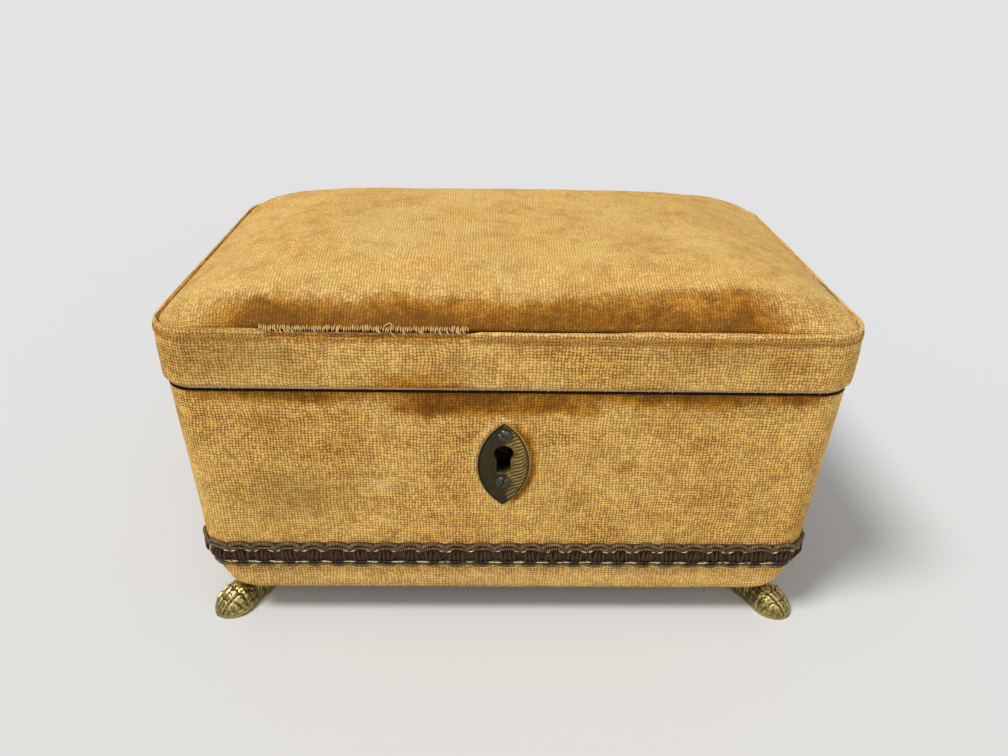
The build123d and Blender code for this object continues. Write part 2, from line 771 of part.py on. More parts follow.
# Spring barrel: a drum whose crown teeth face up to the cylinder's pinion
crown_angles = [pi / 2 + 2 * pi * (number + 0.5) / crown_teeth for number in range(crown_teeth)]
crown_planes = [
    Plane(
        origin=(
            movement_x + (crown_radius - crown_face / 2) * cos(angle),
            barrel_y + (crown_radius - crown_face / 2) * sin(angle),
            barrel_top,
        ),
        x_dir=(-sin(angle), cos(angle), 0),
        z_dir=(cos(angle), sin(angle), 0),
    )
    for angle in crown_angles
]
with BuildPart() as spring_barrel:
    with BuildSketch(Plane.XY.offset(barrel_base)):
        with Locations((movement_x, barrel_y)):
            RegularPolygon(barrel_radius, crown_teeth)
    extrude(amount=barrel_height)
    with BuildSketch(*crown_planes):
        crown_height = crown_tip_z - barrel_top
        Polygon(
            (-root_share * drive_pitch / 2, -wheel_gap),
            (root_share * drive_pitch / 2, -wheel_gap),
            (root_share * drive_pitch / 2, 0),
            (tip_share * drive_pitch / 2, crown_height),
            (-tip_share * drive_pitch / 2, crown_height),
            (-root_share * drive_pitch / 2, 0),
            align=None,
        )
    extrude(amount=crown_face - running_fit)
    with Locations((movement_x, barrel_y, barrel_top)):
        Hole(winding_arbor_radius + running_fit)
spring_barrel.part.label = "spring_barrel"
export_step(spring_barrel.part, "parts/spring_barrel.step")

with BuildPart() as barrel_bridge:
    with BuildSketch(Plane.XY.offset(bridge_base)):
        with Locations((movement_x, barrel_y)):
            RectangleRounded(2 * (leg_inner + bridge_leg), 2 * bridge_half_width, 2)
    extrude(amount=bridge_thickness)
    with BuildSketch(Plane.XY.offset(bedplate_top)):
        with Locations(*bridge_legs):
            Rectangle(bridge_leg, 2 * bridge_half_width - 2)
    extrude(amount=bridge_base - bedplate_top)
    with BuildSketch(Plane.XY.offset(bridge_top)):
        with Locations((movement_x, barrel_y)):
            Circle(winding_arbor_radius + running_fit)
    extrude(amount=-bridge_thickness, mode=Mode.SUBTRACT)
barrel_bridge.part.label = "barrel_bridge"
export_step(barrel_bridge.part, "parts/barrel_bridge.step")

# Winding work: arbor, key below the base, ratchet on the bridge and its click
ratchet_base = bridge_top + stop_gap
arbor_top = ratchet_base + ratchet_thickness + 1.5
with BuildPart() as winding_arbor:
    with BuildSketch(Plane.XY.offset(key_lift + key_height)):
        with Locations((movement_x, barrel_y)):
            Circle(winding_arbor_radius)
    extrude(amount=arbor_top - key_lift - key_height)
    chamfer(winding_arbor.faces().sort_by(Axis.Z)[-1].edges(), stop_gap)
winding_arbor.part.label = "winding_arbor"
export_step(winding_arbor.part, "parts/winding_arbor.step")

with BuildPart() as winding_key:
    key_middle = key_lift + key_height / 2
    with BuildSketch(Plane.XZ.offset(-barrel_y - key_thickness / 2)):
        with Locations((movement_x, key_middle)):
            RectangleRounded(2 * key_half_width, key_height, key_height * 0.45)
        for side in (-1, 1):
            with Locations((movement_x + side * key_half_width * 0.62, key_middle)):
                Circle(key_height * 0.22, mode=Mode.SUBTRACT)
    extrude(amount=key_thickness)
    with BuildSketch(Plane.XY.offset(key_lift + key_height / 3)):
        with Locations((movement_x, barrel_y)):
            Circle(key_hub_radius)
    extrude(amount=key_height * 2 / 3)
winding_key.part.label = "winding_key"
export_step(winding_key.part, "parts/winding_key.step")

with BuildPart() as ratchet_wheel:
    with BuildSketch(Plane.XY.offset(ratchet_base)):
        with Locations((movement_x, barrel_y)):
            Circle(ratchet_radius - ratchet_depth)
            step_angle = 2 * pi / ratchet_teeth
            with PolarLocations(0, ratchet_teeth):
                Polygon(
                    (ratchet_radius - 2 * ratchet_depth, 0),
                    (ratchet_radius, 0),
                    (
                        (ratchet_radius - ratchet_depth) * cos(step_angle),
                        (ratchet_radius - ratchet_depth) * sin(step_angle),
                    ),
                    align=None,
                )
            Circle(winding_arbor_radius + running_fit, mode=Mode.SUBTRACT)
    extrude(amount=ratchet_thickness)
ratchet_wheel.part.label = "ratchet_wheel"
export_step(ratchet_wheel.part, "parts/ratchet_wheel.step")

with BuildPart() as click:
    click_root = leg_inner
    click_tip = ratchet_radius + click_gap
    with BuildSketch(Plane.XY.offset(ratchet_base)):
        with Locations((movement_x, barrel_y)):
            Polygon(
                (click_tip, -click_width / 4),
                (click_root - click_width, -click_width / 2),
                (click_root, -click_width / 2),
                (click_root, click_width / 2),
                (click_root - click_width, click_width / 2),
                align=None,
            )
    extrude(amount=ratchet_thickness)
    with BuildSketch(Plane.XY.offset(bridge_top)):
        with Locations((movement_x + click_root - click_width, barrel_y)):
            Circle(click_width / 2)
    extrude(amount=ratchet_base - bridge_top)
click.part.label = "click"
export_step(click.part, "parts/click.step")

# Cylinder with its arbor and pinion, and the great wheel at the far end
with BuildPart() as music_cylinder:
    with BuildSketch(cross_plane(movement_x, cylinder_start, axis_z)):
        Circle(cylinder_radius)
        Circle(arbor_radius + running_fit, mode=Mode.SUBTRACT)
    extrude(amount=cylinder_length)
music_cylinder.part.label = "music_cylinder"
export_step(music_cylinder.part, "parts/music_cylinder.step")

pinion_width = crown_face * 1.5
with BuildPart() as cylinder_arbor:
    arbor_start = pinion_y - pinion_width / 2 - wheel_gap
    with BuildSketch(cross_plane(movement_x, arbor_start, axis_z)):
        Circle(arbor_radius)
    extrude(amount=back_bracket_y + bracket_thickness - arbor_start)
    pinion_plane = cross_plane(movement_x, pinion_y - pinion_width / 2, axis_z)
    add(toothed_wheel(pinion_plane, pinion_teeth, drive_module, pinion_width, 90))
cylinder_arbor.part.label = "cylinder_arbor"
export_step(cylinder_arbor.part, "parts/cylinder_arbor.step")

with BuildPart() as great_wheel:
    wheel_plane = cross_plane(movement_x, wheel_y, axis_z)
    add(toothed_wheel(wheel_plane, wheel_teeth, train_module, wheel_thickness, 0))
    with BuildSketch(wheel_plane):
        Circle(arbor_radius + running_fit)
    extrude(amount=wheel_thickness, mode=Mode.SUBTRACT)
great_wheel.part.label = "great_wheel"
export_step(great_wheel.part, "parts/great_wheel.step")

# Bearing brackets for the cylinder
for name, bracket_y in (("front_bracket", front_bracket_y), ("back_bracket", back_bracket_y)):
    with BuildPart() as bracket:
        with BuildSketch(cross_plane(movement_x, bracket_y, axis_z)):
            Circle(arbor_radius * 3)
            drop = axis_z - bedplate_top
            Polygon(
                (-arbor_radius * 3, 0),
                (arbor_radius * 3, 0),
                (bracket_half_width, drop),
                (-bracket_half_width, drop),
                align=None,
            )
            Circle(arbor_radius + running_fit, mode=Mode.SUBTRACT)
        extrude(amount=bracket_thickness)
    bracket.part.label = name
    export_step(bracket.part, f"parts/{name}.step")

# Comb: tuned steel teeth cut in one plate, on a brass base
with BuildPart() as comb:
    with BuildSketch(Plane.XY.offset(comb_z)):
        with Locations(((comb_left + comb_tip_x) / 2, cylinder_middle)):
            Rectangle(comb_tip_x - comb_left, 2 * comb_half_width)
        with Locations(((comb_root_x + comb_tip_x) / 2, cylinder_middle)):
            with GridLocations(comb_tooth_pitch, comb_tooth_pitch, 1, comb_tooth_count - 1):
                Rectangle(comb_tooth_length, comb_slot_width, mode=Mode.SUBTRACT)
    extrude(amount=comb_thickness)
comb.part.label = "comb"
export_step(comb.part, "parts/comb.step")

with BuildPart() as comb_base:
    with BuildSketch(Plane.XZ.offset(-cylinder_middle - comb_half_width)) as comb_base_end:
        Polygon(
            (comb_left, bedplate_top),
            (comb_base_right, bedplate_top),
            (comb_base_right, comb_z - comb_base_step),
            (comb_root_x, comb_z),
            (comb_left, comb_z),
            align=None,
        )
    extrude(amount=2 * comb_half_width)
comb_base.part.label = "comb_base"
export_step(comb_base.part, "parts/comb_base.step")

# Governor: pinion and worm wheel on one arbor, worm and fly on an upright shaft
with BuildPart() as governor_wheel:
    arbor_front = wheel_y - wheel_gap
    with BuildSketch(cross_plane(governor_x, arbor_front, axis_z)):
        Circle(governor_arbor_radius)
    extrude(amount=governor_back_y + governor_wall - arbor_front)
    pinion_plane = cross_plane(governor_x, wheel_y, axis_z)
    half_tooth = 180 / governor_pinion_teeth
    add(toothed_wheel(pinion_plane, governor_pinion_teeth, train_module, wheel_thickness, half_tooth))
    worm_wheel_plane = cross_plane(governor_x, worm_y - worm_wheel_thickness / 2, axis_z)
    half_tooth = 180 / worm_wheel_teeth
    add(toothed_wheel(worm_wheel_plane, worm_wheel_teeth, train_module, worm_wheel_thickness, half_tooth))
governor_wheel.part.label = "governor_wheel"
export_step(governor_wheel.part, "parts/governor_wheel.step")

with BuildPart() as governor_bracket:
    with BuildSketch(Plane.XY.offset(bedplate_top)):
        foot_back = governor_back_y + governor_wall
        with Locations((governor_x, (governor_front_y + foot_back) / 2)):
            Rectangle(2 * governor_half_width + 3, foot_back - governor_front_y)
    extrude(amount=governor_wall)
    with BuildSketch(cross_plane(governor_x, governor_front_y, axis_z)):
        Circle(governor_half_width)
        with Locations((0, (axis_z - bedplate_top) / 2)):
            Rectangle(2 * governor_half_width, axis_z - bedplate_top)
    extrude(amount=governor_wall)
    arm_width = 2 * governor_half_width - 1
    arm_right = worm_x + arm_width / 2
    arm_left = governor_x - governor_half_width
    with BuildSketch(Plane.XZ.offset(-governor_back_y - governor_wall)):
        with Locations(((arm_left + arm_right) / 2, (bedplate_top + governor_top) / 2)):
            Rectangle(arm_right - arm_left, governor_top - bedplate_top)
    extrude(amount=governor_wall)
    for level in (governor_arm_low, governor_top - governor_wall):
        with BuildSketch(Plane.XY.offset(level)):
            with Locations((worm_x, worm_y)):
                Rectangle(arm_width, arm_width)
            with Locations((worm_x, (worm_y + governor_back_y + governor_wall) / 2)):
                Rectangle(arm_width, governor_back_y + governor_wall - worm_y)
        extrude(amount=governor_wall)
    with BuildSketch(cross_plane(governor_x, governor_front_y - 1, axis_z)):
        Circle(governor_arbor_radius + running_fit)
    extrude(amount=governor_back_y - governor_front_y + 5, mode=Mode.SUBTRACT)
    with BuildSketch(Plane.XY.offset(governor_arm_low - 1)):
        with Locations((worm_x, worm_y)):
            Circle(fly_shaft_radius + running_fit)
    extrude(amount=governor_top, mode=Mode.SUBTRACT)
governor_bracket.part.label = "governor_bracket"
export_step(governor_bracket.part, "parts/governor_bracket.step")

thread_foot = worm_core_radius - thread_sink
thread_crest = worm_core_radius + (addendum + dedendum) * train_module
thread_root_width = thread_root_share * worm_pitch
thread_tip_width = tip_share * worm_pitch
with BuildPart() as fly_worm:
    with BuildSketch(Plane.XY.offset(governor_arm_low)):
        with Locations((worm_x, worm_y)):
            Circle(fly_shaft_radius)
    extrude(amount=governor_top - governor_arm_low)
    with BuildSketch(Plane.XY.offset(worm_start_z - train_module)):
        with Locations((worm_x, worm_y)):
            RegularPolygon(worm_core_radius, worm_facets)
    extrude(amount=worm_turns * worm_pitch + 2 * train_module)
    thread_rings = []
    for number in range(worm_turns * worm_facets + 1):
        turn = 2 * pi * number / worm_facets
        rise = worm_start_z + worm_pitch * number / worm_facets
        ring = []
        for reach, half in ((thread_foot, -1), (thread_crest, -1), (thread_crest, 1), (thread_foot, 1)):
            width = thread_root_width if reach == thread_foot else thread_tip_width
            x, y = worm_x + reach * cos(turn), worm_y + reach * sin(turn)
            ring.append(Vector(x, y, rise + half * width / 2))
        thread_rings.append(ring)
    add(faceted(thread_rings))
fly_worm.part.label = "fly_worm"
export_step(fly_worm.part, "parts/fly_worm.step")

with BuildPart() as fly_vane:
    with BuildSketch(Plane.XY.offset(fly_base)):
        with Locations((worm_x, worm_y)):
            Rectangle(2 * fly_radius, fly_vane_thickness)
            Circle(fly_shaft_radius + 2 * fly_vane_thickness)
            Circle(fly_shaft_radius + running_fit, mode=Mode.SUBTRACT)
    extrude(amount=fly_height)
fly_vane.part.label = "fly_vane"
export_step(fly_vane.part, "parts/fly_vane.step")

# Stop: a rod that the lid pushes down, with an arm that reaches the fly
stop_top = rail_top - 0.7 * lid_lining_depth
stop_arm_z = fly_base + fly_height / 2
with BuildPart() as stop_rod:
    with BuildSketch(Plane.XY.offset(stop_arm_z - stop_rod_radius)):
        with Locations((stop_x, stop_y)):
            Circle(stop_rod_radius)
    extrude(amount=stop_top - stop_arm_z + stop_rod_radius)
    with BuildSketch(cross_plane(stop_x, worm_y, stop_arm_z)):
        Circle(stop_arm_radius)
    extrude(amount=stop_y - worm_y)
    chamfer(stop_rod.faces().sort_by(Axis.Z)[-1].edges(), stop_rod_radius / 2)
stop_rod.part.label = "stop_rod"
export_step(stop_rod.part, "parts/stop_rod.step")

stop_guide_z = case_top - stop_guide_drop
with BuildPart() as stop_guide:
    with BuildSketch(Plane.XY.offset(stop_guide_z)):
        with Locations((stop_x, stop_y)):
            Circle(stop_guide_half_width * 0.8)
        with Locations((stop_x, (stop_y + inner_half_depth) / 2)):
            Rectangle(stop_guide_half_width * 1.6, inner_half_depth - stop_y)
        with Locations((stop_x, stop_y)):
            Circle(stop_rod_radius + running_fit, mode=Mode.SUBTRACT)
    extrude(amount=stop_guide_thickness)
    with BuildSketch(Plane.XZ.offset(-inner_half_depth)):
        with Locations((stop_x, stop_guide_z)):
            Rectangle(2 * stop_guide_half_width - 2, 2 * stop_guide_half_width)
    extrude(amount=stop_guide_thickness)
stop_guide.part.label = "stop_guide"
export_step(stop_guide.part, "parts/stop_guide.step")


def lid_form(inset, low, high):
    """The lid's plan as one upright solid, drawn in by inset."""
    with BuildPart() as form:
        with BuildSketch(Plane.XY.offset(low)):
            RectangleRounded(
                2 * (lid_half_length - inset),
                2 * (lid_half_depth - inset),
                lid_corner_radius - inset,
            )
        extrude(amount=high - low)
    return form.part


# Lid rails: front and back run the full length, the ends fit between them
lid_wood = lid_form(velvet_thickness, lid_base, rail_top)
striker_middle = striker_x + striker_thickness / 2
with BuildPart() as lid_front_rail:
    add(lid_wood)
    split(bisect_by=Plane.XZ.offset(lid_rail_inner_half_depth), keep=Keep.TOP)
    with BuildSketch(Plane.XY.offset(lid_base)):
        with Locations((striker_middle, lock_middle)):
            Rectangle(2 * striker_plate_half_length + clearance, striker_width + clearance)
    extrude(amount=striker_plate_thickness, mode=Mode.SUBTRACT)
lid_front_rail.part.label = "lid_front_rail"
export_step(lid_front_rail.part, "parts/lid_front_rail.step")

with BuildPart() as lid_back_rail:
    add(lid_wood)
    split(bisect_by=Plane.ZX.offset(lid_rail_inner_half_depth), keep=Keep.TOP)
    add(leaf_recess(lid_base, hinge_leaf), mode=Mode.SUBTRACT)
    for side in (-1, 1):
        add(hinge_relief(side), mode=Mode.SUBTRACT)
lid_back_rail.part.label = "lid_back_rail"
export_step(lid_back_rail.part, "parts/lid_back_rail.step")

for side, name in ((-1, "lid_left_rail"), (1, "lid_right_rail")):
    with BuildPart() as lid_end_rail:
        add(lid_wood)
        split(bisect_by=Plane.XZ.offset(lid_rail_inner_half_depth), keep=Keep.BOTTOM)
        split(bisect_by=Plane.ZX.offset(lid_rail_inner_half_depth), keep=Keep.BOTTOM)
        inner_end = Plane(origin=(side * lid_rail_inner_half_length, 0, 0), z_dir=(side, 0, 0))
        split(bisect_by=inner_end, keep=Keep.TOP)
    lid_end_rail.part.label = name
    export_step(lid_end_rail.part, f"parts/{name}.step")

with BuildPart() as lid_top_board:
    add(lid_form(velvet_thickness, rail_top, lid_board_top))
lid_top_board.part.label = "lid_top_board"
export_step(lid_top_board.part, "parts/lid_top_board.step")

# Velvet band round the lid, with the raised lip that frames the cushion
with BuildPart() as lid_velvet:
    add(lid_form(0, lid_base, lid_lip_top))
    add(lid_form(velvet_thickness, lid_base, lid_board_top), mode=Mode.SUBTRACT)
    add(lid_form(lid_lip_width, lid_board_top, lid_lip_top), mode=Mode.SUBTRACT)
    add(leaf_recess(lid_base, hinge_leaf), mode=Mode.SUBTRACT)
    for side in (-1, 1):
        add(hinge_relief(side), mode=Mode.SUBTRACT)
lid_velvet.part.label = "lid_velvet"
export_step(lid_velvet.part, "parts/lid_velvet.step")

# Crowned cushion: level contours of a dome that is flat in the middle
cushion_inset = lid_lip_width + clearance
cushion_height = cushion_crown + lid_lip_height
contour_levels = (0.0, 0.3, 0.55, 0.76, 0.9, 0.975)
cushion_rings = []
for level in contour_levels:
    share = (1 - level) ** (1 / cushion_power)
    half_long = (lid_half_length - cushion_inset) * share
    half_wide = (lid_half_depth - cushion_inset) * share
    radius = lid_corner_radius - cushion_inset + (lid_half_depth - cushion_inset - half_wide) / 2
    centre = Vector(0, 0, lid_board_top + cushion_height * level / contour_levels[-1])
    cushion_rings.append(level_outline(centre, half_long, half_wide, radius))
with BuildPart() as lid_cushion:
    add(faceted(cushion_rings))
lid_cushion.part.label = "lid_cushion"
export_step(lid_cushion.part, "parts/lid_cushion.step")

# Puffed silk lining under the lid's board
lining_contours = ((0.0, 0.0), (0.35, 0.1), (0.8, 0.8), (1.0, 2.5))
lining_rings = []
for share, slope in lining_contours:
    inset = clearance + slope * lid_lining_depth
    half_long = lid_rail_inner_half_length - inset
    half_wide = lid_rail_inner_half_depth - inset
    centre = Vector(0, 0, rail_top - share * lid_lining_depth)
    lining_rings.append(level_outline(centre, half_long, half_wide, lining_corner + inset / 2))
with BuildPart() as lid_lining:
    add(faceted(lining_rings))
lid_lining.part.label = "lid_lining"
export_step(lid_lining.part, "parts/lid_lining.step")

# Staple on the lid that the lock's bolt passes through
with BuildPart() as lock_striker:
    with BuildSketch(Plane.XY.offset(lid_base)):
        with Locations((striker_middle, lock_middle)):
            Rectangle(2 * striker_plate_half_length, striker_width)
    extrude(amount=striker_plate_thickness)
    with BuildSketch(Plane.YZ.offset(striker_x)):
        with Locations((lock_middle, (lid_base + striker_low) / 2)):
            Rectangle(striker_width, lid_base - striker_low)
        with Locations((lock_middle, bolt_z)):
            Rectangle(striker_eye_width, striker_eye_height, mode=Mode.SUBTRACT)
    extrude(amount=striker_thickness)
lock_striker.part.label = "lock_striker"
export_step(lock_striker.part, "parts/lock_striker.step")

# Butt hinges: a middle knuckle on the case, outer knuckles on the lid, one pin each
half_knuckle = hinge_centre_knuckle / 2
outer_start = half_knuckle + clearance
outer_length = hinge_length / 2 - outer_start
hinge_parts = (
    ("hinge_case_leaves", case_top - hinge_leaf, [(-half_knuckle, hinge_centre_knuckle)]),
    ("hinge_lid_leaves", lid_base, [(outer_start, outer_length), (-hinge_length / 2, outer_length)]),
)
for name, leaf_base, knuckles in hinge_parts:
    with BuildPart() as leaves:
        with BuildSketch(Plane.XY.offset(leaf_base)):
            for side in (-1, 1):
                with Locations((side * hinge_spacing, leaf_middle)):
                    Rectangle(hinge_length, hinge_leaf_depth)
                for start, length in knuckles:
                    with Locations((side * hinge_spacing + start + length / 2, (leaf_end + hinge_y) / 2)):
                        Rectangle(length, hinge_y - leaf_end)
        extrude(amount=hinge_leaf)
        for side in (-1, 1):
            for start, length in knuckles:
                with BuildSketch(Plane.YZ.offset(side * hinge_spacing + start)):
                    with Locations((hinge_y, hinge_z)):
                        RegularPolygon(hinge_knuckle_radius, round_facets)
                extrude(amount=length)
        with BuildSketch(Plane.YZ.offset(-hinge_spacing - hinge_length)):
            with Locations((hinge_y, hinge_z)):
                Circle(hinge_pin_radius + running_fit)
        extrude(amount=2 * (hinge_spacing + hinge_length), mode=Mode.SUBTRACT)
    leaves.part.label = name
    export_step(leaves.part, f"parts/{name}.step")

with BuildPart() as hinge_pins:
    for side in (-1, 1):
        with BuildSketch(Plane.YZ.offset(side * hinge_spacing - hinge_length / 2)):
            with Locations((hinge_y, hinge_z)):
                Circle(hinge_pin_radius)
        extrude(amount=hinge_length)
hinge_pins.part.label = "hinge_pins"
export_step(hinge_pins.part, "parts/hinge_pins.step")
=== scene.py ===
"""Looks of a velvet-covered music box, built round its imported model. Metres; the
front faces -Y. Sizes below are in millimetres unless a name says otherwise."""
import random
from math import atan2, cos, exp, hypot, pi, radians, sin, sqrt

import bmesh
import bpy
from mathutils import Matrix, Vector, noise


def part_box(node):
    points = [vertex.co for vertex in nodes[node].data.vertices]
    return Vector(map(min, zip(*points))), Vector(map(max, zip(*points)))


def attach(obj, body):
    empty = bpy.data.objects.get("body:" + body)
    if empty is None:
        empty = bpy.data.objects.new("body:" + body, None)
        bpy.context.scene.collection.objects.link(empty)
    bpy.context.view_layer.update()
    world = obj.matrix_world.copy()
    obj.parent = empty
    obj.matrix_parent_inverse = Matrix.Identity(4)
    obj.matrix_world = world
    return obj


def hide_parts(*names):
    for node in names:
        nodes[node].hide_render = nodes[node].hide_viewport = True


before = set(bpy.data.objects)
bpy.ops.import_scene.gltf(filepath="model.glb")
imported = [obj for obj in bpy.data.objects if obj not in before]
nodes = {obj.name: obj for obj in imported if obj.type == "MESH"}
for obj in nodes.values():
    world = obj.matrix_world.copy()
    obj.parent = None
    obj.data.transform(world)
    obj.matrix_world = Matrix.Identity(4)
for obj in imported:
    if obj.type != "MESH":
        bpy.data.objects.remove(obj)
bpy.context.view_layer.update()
MM = 0.001

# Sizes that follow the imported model
CASE_BASE, CASE_TOP = 12.0, 91.0
CASE_HALF_LENGTH, CASE_HALF_DEPTH = 106.5, 65.6
CASE_LEAN, ROLL_RADIUS, CORNER_RADIUS = 4.0, 20.0, 10.0
ROLL_CENTRE_X = 83.49
LID_HALF_LENGTH, LID_HALF_DEPTH, LID_CORNER = 108.0, 67.0, 12.5
LID_BASE, LIP_TOP, CUSHION_BASE = 91.3, 111.3, 110.3
CUSHION_HEIGHT = 14.0
BRAID_LOW, BRAID_PITCH = 21.8, 8.0
PAW_X, PAW_Y = 95.3, 60.5
CYLINDER_X, CYLINDER_Z, CYLINDER_SURFACE = 63.0, 38.4625, 9.95
WELL_RIGHT, WELL_HALF_DEPTH = 28.4, 56.1
FLOOR_REACH = 14.0  # metres
PLATE_X, PLATE_MIDDLE, PLATE_HALF_HEIGHT, PLATE_HALF_WIDTH = -1.8, 64.2, 15.9, 8.7
KEY_EYE, KEY_EYE_RADIUS, KEY_SLOT_HALF, KEY_SLOT_END = 68.6, 3.2, 2.25, 61.7
PLATE_SCREWS = (75.2, 57.8)


def hue(red, green, blue):
    """A colour as seen on a screen, 0 to 255, in the linear values that shaders take."""
    def linear(part):
        part = part / 255
        return part / 12.92 if part <= 0.04045 else ((part + 0.055) / 1.055) ** 2.4
    return (linear(red), linear(green), linear(blue), 1.0)


# ---------------------------------------------------------------- shader nodes
class Wiring:
    """Short ways to add and join nodes in one tree."""

    def __init__(self, tree):
        self.tree = tree

    def add(self, kind, inputs=None, **settings):
        node = self.tree.nodes.new(kind)
        for key, value in settings.items():
            setattr(node, key, value)
        for key, value in (inputs or {}).items():
            self.feed(value, node.inputs[key])
        return node

    def feed(self, value, socket):
        if isinstance(value, bpy.types.NodeSocket):
            self.tree.links.new(value, socket)
        else:
            socket.default_value = value

    def math(self, operation, first, second=None, clamp=False):
        node = self.tree.nodes.new("ShaderNodeMath")
        node.operation, node.use_clamp = operation, clamp
        self.feed(first, node.inputs[0])
        if second is not None:
            self.feed(second, node.inputs[1])
        return node.outputs[0]

    def plus(self, first, second, clamp=False):
        return self.math("ADD", first, second, clamp)

    def minus(self, first, second):
        return self.math("SUBTRACT", first, second)

    def times(self, first, second, clamp=False):
        return self.math("MULTIPLY", first, second, clamp)

    def over(self, first, second):
        return self.math("DIVIDE", first, second)

    def mix(self, share, first, second, blend="MIX"):
        node = self.tree.nodes.new("ShaderNodeMix")
        node.data_type, node.blend_type = "RGBA", blend
        self.feed(share, node.inputs[0])
        self.feed(first, node.inputs[6])
        self.feed(second, node.inputs[7])
        return node.outputs[2]

    def tint(self, tone, mask, amount, colour):
        return self.mix(self.times(mask, amount), tone, colour)

    def step(self, value, low, high, to_low=0.0, to_high=1.0):
        node = self.add("ShaderNodeMapRange", interpolation_type="SMOOTHSTEP")
        for place, item in enumerate((value, low, high, to_low, to_high)):
            self.feed(item, node.inputs[place])
        return node.outputs[0]

    def noise(self, vector, scale, detail=2.0, roughness=0.5):
        inputs = {"Vector": vector, "Scale": scale, "Detail": detail, "Roughness": roughness}
        return self.add("ShaderNodeTexNoise", inputs).outputs[0]


def effect(name, inputs, outputs):
    """A shader group with named sockets: its wiring, its inputs and its output node."""
    tree = bpy.data.node_groups.new(name, "ShaderNodeTree")
    for label, kind, value in inputs:
        socket = tree.interface.new_socket(label, in_out="INPUT", socket_type=kind)
        if value is not None:
            socket.default_value = value
    for label, kind in outputs:
        tree.interface.new_socket(label, in_out="OUTPUT", socket_type=kind)
    wiring = Wiring(tree)
    return wiring, wiring.add("NodeGroupInput").outputs, wiring.add("NodeGroupOutput").inputs


FLOAT, VECTOR, COLOUR = "NodeSocketFloat", "NodeSocketVector", "NodeSocketColor"

# Knots of thread in ribs and rows. The vector is in millimetres, its x across the ribs.
wire, given, put = effect(
    "Thread grid",
    [("Vector", VECTOR, None), ("Rib pitch", FLOAT, 1.05), ("Row pitch", FLOAT, 1.05),
     ("Unevenness", FLOAT, 0.9)],
    [("Height", FLOAT), ("Knots", FLOAT), ("Tint", FLOAT), ("Rows", FLOAT)],
)
bent = given["Vector"]
for scale, amount in ((0.07, 3.0), (0.7, given["Unevenness"])):
    wander = wire.add("ShaderNodeTexNoise", {"Vector": given["Vector"], "Scale": scale, "Detail": 2.0})
    wander = wire.add("ShaderNodeVectorMath", {0: wander.outputs[1], 1: (0.5, 0.5, 0.5)},
                      operation="SUBTRACT")
    wander = wire.add("ShaderNodeVectorMath", {0: wander.outputs[0], 3: amount}, operation="SCALE")
    bent = wire.add("ShaderNodeVectorMath", {0: bent, 1: wander.outputs[0]}, operation="ADD").outputs[0]
apart = wire.add("ShaderNodeSeparateXYZ", {0: bent})
rib = wire.over(apart.outputs[0], given["Rib pitch"])
rib_number = wire.math("FLOOR", rib)
across = wire.minus(wire.times(wire.math("FRACT", rib), 2.0), 1.0)
offset = wire.add("ShaderNodeTexWhiteNoise", {"W": rib_number}, noise_dimensions="1D").outputs["Value"]
row = wire.over(apart.outputs[1], given["Row pitch"])
row = wire.plus(row, wire.times(offset, 0.25))
row_number = wire.math("FLOOR", row)
along = wire.minus(wire.times(wire.math("FRACT", row), 2.0), 1.0)
cell = wire.add("ShaderNodeCombineXYZ", {0: rib_number, 1: row_number})
chance = wire.add("ShaderNodeTexWhiteNoise", {"Vector": cell.outputs[0]},
                  noise_dimensions="2D").outputs["Value"]
speck = wire.noise(given["Vector"], 1.7, 4.0, 0.7)
away = wire.plus(wire.times(across, across), wire.times(wire.times(along, along), 0.85))
away = wire.plus(wire.math("SQRT", away), wire.times(wire.minus(chance, 0.5), 0.55))
away = wire.plus(away, wire.times(wire.minus(speck, 0.5), 1.1))
knots = wire.step(away, 0.42, 1.3, 1.0, 0.0)
height = wire.plus(wire.times(knots, 0.8), wire.times(speck, 0.6))
wire.feed(height, put["Height"])
wire.feed(knots, put["Knots"])
wire.feed(wire.times(wire.plus(chance, speck), 0.5), put["Tint"])
stretched = wire.add("ShaderNodeMapping", {"Vector": bent, "Scale": (0.013, 0.55, 1.0)})
wire.feed(wire.step(wire.noise(stretched.outputs[0], 1.0, 4.0, 0.75), 0.53, 0.66), put["Rows"])

# Soft patches of two sizes, for fading, soiling and tarnish
wire, given, put = effect(
    "Patches",
    [("Vector", VECTOR, None), ("Size", FLOAT, 20.0), ("Cover", FLOAT, 0.5), ("Softness", FLOAT, 0.12)],
    [("Mask", FLOAT)],
)
spread = wire.over(1.0, given["Size"])
cloud = wire.noise(given["Vector"], spread, 4.0, 0.6)
edge = wire.minus(1.0, given["Cover"])
low = wire.minus(edge, given["Softness"])
high = wire.plus(edge, given["Softness"])
wire.feed(wire.step(cloud, low, high), put["Mask"])

# Old metal: dark in the hollows, bright where it is rubbed
wire, given, put = effect(
    "Old metal",
    [("Vector", VECTOR, None), ("Bright", COLOUR, None), ("Dull", COLOUR, None), ("Dark", COLOUR, None),
     ("Grain", FLOAT, 1.5), ("Rubbed", FLOAT, 0.5)],
    [("Color", COLOUR), ("Roughness", FLOAT), ("Height", FLOAT)],
)
worn = wire.add("ShaderNodeNewGeometry").outputs["Pointiness"]
raised = wire.step(worn, 0.49, 0.53)
hollow = wire.step(worn, 0.43, 0.492, 1.0, 0.0)
cloud = wire.noise(given["Vector"], given["Grain"], 5.0, 0.65)
rub = wire.plus(wire.times(raised, 0.7), wire.times(cloud, given["Rubbed"]), clamp=True)
tone = wire.mix(rub, given["Dull"], given["Bright"])
grime = wire.times(hollow, wire.step(cloud, 0.3, 0.6, 1.0, 0.55), clamp=True)
tone = wire.mix(grime, tone, given["Dark"])
wire.feed(tone, put["Color"])
